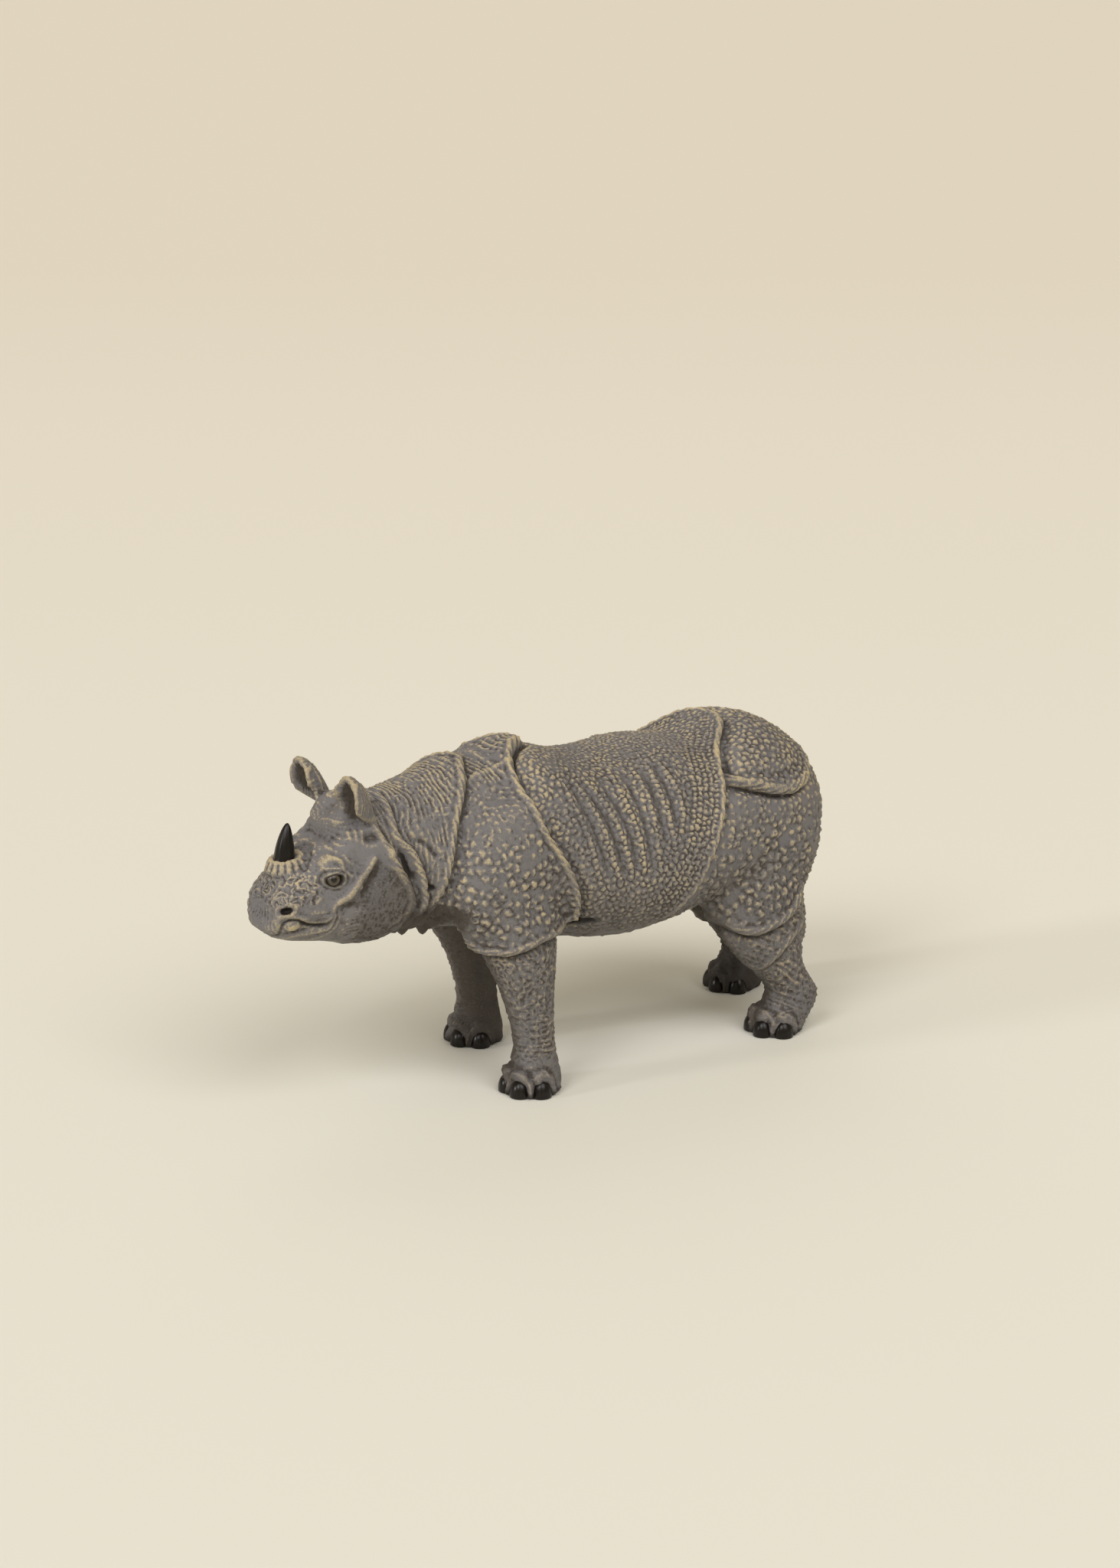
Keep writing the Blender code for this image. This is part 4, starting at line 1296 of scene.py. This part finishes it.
@dataclass
class Hide:
    """The whole casting's skin, carved and painted, in place of the plain solid."""

    voxel: float = 0.36
    settle: int = 3
    triangles: int = 196000
    detail_factor: float = 0.02
    ribs: Ribs = field(default_factory=Ribs)
    pebbles: Pebbles = field(default_factory=Pebbles)
    wrinkles: Wrinkles = field(default_factory=Wrinkles)
    face: Face = field(default_factory=Face)
    nails: Toenails = field(default_factory=Toenails)
    brush_noise_mm: float = 7.0
    ear_growth: float = 0.22
    back_line: Line = (
        (-24, 0), (-20, -0.3), (-16.5, -0.9), (-12.5, -1.5), (-9, -0.9), (-5.5, 0.2), (-2, 0.6), (2, 0.7),
        (6, 0.4), (10, 0.1), (34, 0), (37, -0.6), (40, -1.3), (44, -1.4), (47.5, -0.6), (52, 0),
    )
    plate_shift: float = 0.9
    rope_drop: float = 1.9

    def blank(self) -> bpy.types.Object:
        """Copy the casting, merge its loose triangles, round them and lay an even fine mesh over them.

        Returns:
            The piece.
        """
        piece = bpy.data.objects.new("hide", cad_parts[CASTING].data.copy())
        bpy.context.scene.collection.objects.link(piece)
        select_only(piece)
        bpy.ops.object.mode_set(mode="EDIT")
        bpy.ops.mesh.select_all(action="SELECT")
        bpy.ops.mesh.remove_doubles(threshold=1e-6)
        bpy.ops.object.mode_set(mode="OBJECT")
        apply_modifier(piece, "SUBSURF", levels=2, render_levels=2)
        apply_modifier(piece, "REMESH", mode="VOXEL", voxel_size=self.voxel * MM)
        return piece

    def survey(self, skin: Skin) -> None:
        """Divide the skin into zones with soft borders.

        Args:
            skin: The skin, which gets its zones.
        """
        head, collar, neck, shoulder, barrel = (
            soft_step(-0.5, 0.7, skin.ahead_of(line))
            for line in (JAW_FOLD, COLLAR_FOLD, NECK_FOLD, SHOULDER_PLATE, BARREL_PLATE)
        )
        foreleg = soft_step(0.4, -0.8, skin.above(SHOULDER_HEM)) * (skin.x > 20) * (skin.z < 37)
        under = soft_step(25.5, 23.0, skin.z) * (skin.x > -14) * (skin.x < 24)
        belly = np.maximum(under, soft_step(-38.0, -48.0, skin.angle) * (skin.z > 19) * (skin.x < 62))
        belly = belly * (1 - foreleg) * (skin.x > -14)
        hind_leg = soft_step(0.4, -0.8, skin.above(KNEE_FOLD, KNEE_SHIFT)) * (skin.x < -8)
        rump = soft_step(-0.4, 0.8, skin.above(RUMP_FOLD)) * (skin.x > -42)
        rest = (1 - foreleg) * (1 - belly)
        skin.zones = {
            Zone.HEAD: head,
            Zone.COLLAR: collar * (1 - head),
            Zone.NECK: neck * (1 - collar) * (1 - head) * rest,
            Zone.SHOULDER: shoulder * (1 - neck) * rest,
            Zone.BARREL: barrel * (1 - shoulder) * rest,
            Zone.BELLY: belly,
            Zone.RUMP: (1 - barrel) * rump * rest,
            Zone.THIGH: (1 - barrel) * (1 - rump) * (1 - hind_leg) * rest,
            Zone.FORELEG: foreleg,
            Zone.HIND_LEG: (1 - barrel) * hind_leg * (1 - belly),
        }
        skin.zones[Zone.THIGH] = skin.zones[Zone.THIGH] + 1e-6

    def settle_form(self, skin: Skin) -> None:
        """Bring the large form nearer the figure's: back line, shoulder plate, ears, rump rope and face.

        Args:
            skin: The skin, whose points move.
        """
        skin.places[:, 2] += soft_step(35.0, 65.0, skin.angle) * np.interp(skin.x, *zip(*self.back_line))
        plate = soft_step(60.0, 72.0, skin.angle) * hump(skin.x - 34.5, 6.0)
        skin.places[:, 0] += self.plate_shift * plate
        ear = (skin.z > 66.0) & (skin.x > 70.0) & (skin.side > 3.5)
        tips = ear & (skin.z > 69.0)
        apart = soft_step(69.0, 72.5, skin.x) * soft_step(3.0, 5.0, skin.side)
        wider = self.ear_growth * ear * apart * soft_step(67.0, 72.5, skin.z)
        skin.places[:, 0] += wider * (skin.x - skin.x[tips].mean())
        skin.places[:, 1] += wider * (skin.side - skin.side[tips].mean()) * np.sign(skin.y)
        rope = hump(skin.above(RUMP_FOLD) - 2.0, 3.2) * soft_step(4.5, 7.0, skin.side) * (skin.x < -8)
        skin.places[:, 2] -= self.rope_drop * rope * soft_step(-10.0, -14.0, skin.x)
        self.face.shape(skin)

    def brick_rows(self, skin: Skin, row: np.ndarray) -> np.ndarray:
        """Put rows of pebbles beside the barrel plate's edge.

        Args:
            skin: The skin.
            row: Each point's place in a row so far, or -1.

        Returns:
            The places with the new rows.
        """
        signed, run, length = skin.follow(BARREL_PLATE, Layout.ROUND, reach=10.0)
        for number in range(self.pebbles.brick_rows):
            off = self.pebbles.brick_start + number * self.pebbles.brick_spacing
            here = (np.abs(signed - off) < ROW_HALF_WIDTH) & (run > 12) & (run < length - 2) & (row < 0)
            row = np.where(here, 1000.0 + 100.0 * number + run, row)
        return row

    def feet(self, skin: Skin) -> tuple[np.ndarray, np.ndarray]:
        """Cuticle arches over the nails.

        Args:
            skin: The skin.

        Returns:
            The rise, and where extra tan goes.
        """
        rise, tan = np.zeros(len(skin.x)), np.zeros(len(skin.x))
        low = skin.z < 9
        for x, y, way in self.nails.places():
            along = (skin.x - x) * math.cos(way) + (skin.y - y) * math.sin(way)
            across = (skin.y - y) * math.cos(way) - (skin.x - x) * math.sin(way)
            arch = np.hypot(across / 2.45, (skin.z - 0.9) / 3.6)
            facing = soft_step(-2.2, -0.6, along) * low
            rise += facing * (0.42 * hump(arch - 1.2, 0.15) - 0.4 * hump(arch - 1.62, 0.17)
                              - 0.55 * soft_step(1.0, 0.85, arch))
            tan = np.maximum(tan, facing * 0.5 * hump(arch - 1.26, 0.05))
        return rise, tan

    def ears(self, skin: Skin) -> tuple[np.ndarray, np.ndarray]:
        """Ribs inside the ears and ridges on their backs.

        Args:
            skin: The skin.

        Returns:
            The rise, and where the ears' hollow insides get painted shade.
        """
        ear = (skin.z > 66.5) & (skin.x > 71) & (skin.side > 4.5)
        across = np.arctan2(skin.side - 9.6, np.abs(skin.x - 80.0) + 2.0) * 4.0
        lines = self.wrinkles.lines(skin, across, skin.z, 0.95, 8.0, 40)
        hollow = ((skin.blurred(skin.places, 30) - skin.places) * skin.normals).sum(axis=1)
        # Painted shade in the ears' hollow insides.
        inside = ear * soft_step(-0.06, 0.08, hollow) * soft_step(-0.3, 0.2, skin.normals[:, 0])
        return 0.26 * lines * soft_step(66.5, 69.0, skin.z) * ear, inside

    def carve(self, skin: Skin) -> Marks:
        """Add all the relief and mark where paint goes by hand.

        Args:
            skin: The skin, whose points move.

        Returns:
            The marks for the brush.
        """
        self.survey(skin)
        rise, calm, row = self.ribs.carve(skin)
        row = self.brick_rows(skin, row)
        lips = np.zeros(len(skin.x))
        for fold in FOLDS:
            lift, near = fold.carve(skin)
            rise += lift
            lips = np.maximum(lips, near)
        ear_zone = soft_step(66.0, 68.0, skin.z) * (skin.x > 72)
        calm = np.maximum.reduce([calm, lips, ear_zone, soft_step(7.0, 4.0, skin.z)])
        rise += self.pebbles.carve(skin, row, calm)
        rise += self.wrinkles.carve(skin) * (1.0 - lips)
        lift, tan, pit_shade = self.face.carve(skin)
        arches, cuticles = self.feet(skin)
        ribbed, inside = self.ears(skin)
        rise += lift + arches + ribbed + 0.05 * rough_noise(skin.places, 1.1, 3, 91)
        rise *= soft_step(0.1, 1.0, skin.z)
        skin.places = skin.places + skin.normals * rise[:, None]
        self.tuck_horn(skin)
        skin.places[:, 2] = np.maximum(skin.places[:, 2], 0.0)
        between_nails = 0.85 * soft_step(1.9, 0.9, skin.z)
        # Painted shadow on the far hind foot, which stands in the body's shade.
        shadowed_hind_foot = soft_step(15.0, 10.0, skin.z) * (skin.x < -28) * (skin.y < 0)
        pit_shade = np.maximum.reduce([pit_shade, between_nails, 0.45 * shadowed_hind_foot])
        # Painted shade in the ears' hollows, on the far hind foot and over broad areas goes into the marks.
        return Marks(np.maximum(tan, cuticles), pit_shade, inside + 0.8 * shadowed_hind_foot + self.wash_and_shade_areas(skin))

    def tuck_horn(self, skin: Skin) -> None:
        """Pull the hide's own horn in under the black one.

        Args:
            skin: The skin, laid out before the carving, whose points move.
        """
        x, foot, stub = 91.2, 57.0, 0.3
        within = (skin.z > 57.4) & (np.hypot(skin.x - x, skin.y) < 3.2) & (skin.x > 87)
        height = foot + stub * (skin.z - foot)
        axis = np.stack([np.full(len(height), x), np.zeros(len(height)), height], axis=1)
        skin.places = np.where(within[:, None], 0.55 * skin.places + 0.45 * axis, skin.places)

    def wash_and_shade_areas(self, skin: Skin) -> np.ndarray:
        """Painted shade low down, under the throat, round the lids and on the legs' inner sides; darker
        cheeks.

        Args:
            skin: The skin, laid out before the carving.

        Returns:
            How dark the painted shade is, 0 where there is none and 1 or more where it is full.
        """
        # Painted shade low on the body, under the throat, round the lids and on the legs' inner sides; the
        # cheeks are just painted darker.
        cheek = soft_step(81.0, 78.0, skin.x) * soft_step(58.0, 55.0, skin.z) * skin.zones[Zone.HEAD]
        low = soft_step(52.0, 30.0, skin.z)
        throat = soft_step(70.0, 67.0, skin.x) * soft_step(54.0, 57.0, skin.x) * soft_step(47.0, 43.0, skin.z)
        lids = soft_step(1.45, 1.15, self.face.round_eye(skin)[0]) * (skin.side > 6.0)
        inner = soft_step(-0.5, 0.4, -skin.normals[:, 1] * np.sign(skin.y)) * soft_step(37.0, 31.0, skin.z)
        return 0.48 * cheek + 0.26 * low + throat + 0.15 * lids + 0.68 * inner

    def paint(self, skin: Skin, piece: bpy.types.Object, marks: Marks) -> None:
        """Find the tops that the dry brush touches, and the hollows, which get dark washes and painted shade.

        Args:
            skin: The carved skin.
            piece: The piece, which gets them as attributes.
            marks: Where paint goes besides.
        """
        fine = ((skin.places - skin.blurred(skin.places, 5)) * skin.normals).sum(axis=1)
        broad = ((skin.places - skin.blurred(skin.places, 40)) * skin.normals).sum(axis=1)
        patchy = 0.78 + 0.4 * rough_noise(skin.places, self.brush_noise_mm, 2, 51)
        feet = soft_step(10.5, 8.0, skin.z)
        face = soft_step(70.0, 74.0, skin.x)
        # Less tan where painted shade lies.
        brushed = patchy * (1.0 - 0.85 * np.clip(marks.shade, 0.0, 1.0))
        # Painted top light: what faces up gets more tan, standing in for light from above; the face and feet
        # get less.
        painted_top_light = np.clip(skin.normals[:, 2], 0.0, 1.0)
        brushed *= (0.82 + 0.5 * painted_top_light) * (1.0 - 0.15 * face) * (1.0 - 0.45 * feet)
        raised = soft_step(0.003, 0.11, fine + 0.1 * broad) * brushed
        raised = np.maximum(raised, marks.tan * patchy)
        # Dark washes in the hollows, plus the painted shade from the marks.
        wash_and_shade = soft_step(0.005, 0.15, -(fine + 0.15 * broad)) + marks.shade
        for name, values in (("raised", raised), ("wash_and_shade", wash_and_shade), ("pit_shade", marks.pit_shade)):
            mark = piece.data.attributes.new(name, "FLOAT", "POINT")
            mark.data.foreach_set("value", np.clip(values, 0.0, 1.0).astype(np.float32))

    def build(self) -> bpy.types.Object:
        """Make the carved and painted hide.

        Returns:
            The piece.
        """
        piece = self.blank()
        skin = Skin.read(piece)
        skin.places = skin.blurred(skin.places, self.settle)
        skin.write(piece)
        skin = Skin.read(piece)
        LOG.info("skin: %d points", len(skin.places))
        skin.normals = skin.blurred(skin.normals, 4)
        skin.normals /= np.linalg.norm(skin.normals, axis=1)[:, None]
        self.settle_form(skin)
        skin.lay_out()
        marks = self.carve(skin)
        skin.write(piece)
        carved = Skin.read(piece)
        self.paint(carved, piece, marks)
        self.thin_out(piece, carved)
        return piece

    def thin_out(self, piece: bpy.types.Object, skin: Skin) -> None:
        """Take out triangles where they show least, keeping the face and feet finest.

        Args:
            piece: The carved piece.
            skin: Its skin.
        """
        spare = 0.45 - 0.25 * soft_step(60.0, 70.0, skin.x) - 0.15 * (skin.z < 9.0)
        inner = (skin.normals[:, 1] * np.sign(skin.y) < -0.3) & (skin.z < 36.0)
        spare = np.where((skin.normals[:, 2] < -0.7) | (skin.z < 0.5) | inner, 1.0, spare)
        group = piece.vertex_groups.new(name="spare")
        for level in range(1, 11):
            group.add(np.flatnonzero(np.rint(spare * 10) == level).tolist(), level / 10, "REPLACE")
        count = sum(len(face.vertices) - 2 for face in piece.data.polygons)
        apply_modifier(piece, "DECIMATE", ratio=self.triangles / count, vertex_group=group.name,
                       vertex_group_factor=self.detail_factor)
        height = np.empty(len(piece.data.vertices) * 3, np.float32)
        piece.data.vertices.foreach_get("co", height)
        height[2::3] = np.maximum(height[2::3], 0.0)
        piece.data.vertices.foreach_set("co", height)
        piece.data.update()


@dataclass
class Studio:
    """A cream sweep, even light, four soft lights and the camera at the photographed angle."""

    camera_place: tuple[float, float, float] = (0.45581, 0.64730, 0.28515)
    heading: float = -125.3525
    pitch: float = -15.6227
    lens: float = 84.99
    floor_radius: float = 7.0
    even_light: float = 0.33
    sky: str = "#ffeecb"
    lamp: str = "#fffdfe"
    lights: Sequence[tuple[str, float, float, float, float]] = (
        ("camera_window", 86.0, 47.0, 40.0, 1.2),
        ("left_window", 26.0, 40.0, 26.0, 0.97),
        ("low_lamp", -10.0, 18.0, 9.0, 0.6),
        ("back_window", 245.0, 35.0, 50.0, 0.35),
    )

    def build(self) -> None:
        """Set up the floor, the lights, the world and the camera."""
        self.lay_floor()
        for row in self.lights:
            self.hang_light(*row)
        world = bpy.data.worlds.new("studio")
        bpy.context.scene.world = world
        world.use_nodes = True
        world.node_tree.nodes["Background"].inputs["Color"].default_value = linear(self.sky)
        world.node_tree.nodes["Background"].inputs["Strength"].default_value = self.even_light
        bpy.context.scene.view_settings.view_transform = "Standard"
        self.place_camera()

    def lay_floor(self) -> None:
        """Lay the cream paper."""
        bpy.ops.object.select_all(action="DESELECT")
        bpy.ops.mesh.primitive_circle_add(vertices=96, radius=self.floor_radius, fill_type="NGON")
        floor = settled("paper")
        wear(floor, StudioPaper().make())

    def hang_light(self, name: str, bearing: float, height: float, softness: float, power: float) -> None:
        """Hang a distant soft light.

        Args:
            name: Its name.
            bearing: Where it stands round the figure, in degrees from x towards y.
            height: How high it stands, in degrees.
            softness: How wide it looks from the figure, in degrees.
            power: Its strength in watts a square metre.
        """
        lamp = bpy.data.lights.new(name, "SUN")
        lamp.angle = math.radians(softness)
        lamp.energy = power
        lamp.color = linear(self.lamp)[:3]
        holder = bpy.data.objects.new(name, lamp)
        turn, rise = math.radians(bearing), math.radians(height)
        way = Vector((math.cos(turn) * math.cos(rise), math.sin(turn) * math.cos(rise), math.sin(rise)))
        holder.location = way
        holder.rotation_euler = (-way).to_track_quat("-Z", "Y").to_euler()
        bpy.context.scene.collection.objects.link(holder)

    def place_camera(self) -> None:
        """Put the camera where the photographer's stood."""
        lens = bpy.data.cameras.new("camera")
        lens.lens = self.lens
        lens.sensor_fit = "VERTICAL"
        lens.sensor_height = 36.0
        lens.sensor_width = 36.0
        lens.clip_start = 0.01
        lens.clip_end = 50.0
        camera = bpy.data.objects.new("camera", lens)
        camera.location = self.camera_place
        camera.rotation_euler = (math.radians(90.0 + self.pitch), 0.0, math.radians(self.heading - 90.0))
        bpy.context.scene.collection.objects.link(camera)
        bpy.context.scene.camera = camera


def main() -> None:
    """Build the figure and the studio."""
    logging.basicConfig(level=logging.INFO, format="%(name)s %(relativeCreated)d ms: %(message)s")
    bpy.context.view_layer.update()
    hide = Hide().build()
    wear(hide, MattePvcPaint().make())
    hand_over(hide)
    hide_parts(CASTING)
    enamel = GlossBlackPaint()
    horn = Horn().build()
    wear(horn, enamel.make())
    hand_over(horn)
    for nail in Toenails().build():
        wear(nail, GlossBlackPaint(f"{enamel.name}_{nail.name}").make())
        hand_over(nail)
    for eye in Eyes().build():
        wear(eye, EyePaint().make())
        hand_over(eye)
    Studio().build()


if __name__ == "__main__":
    main()
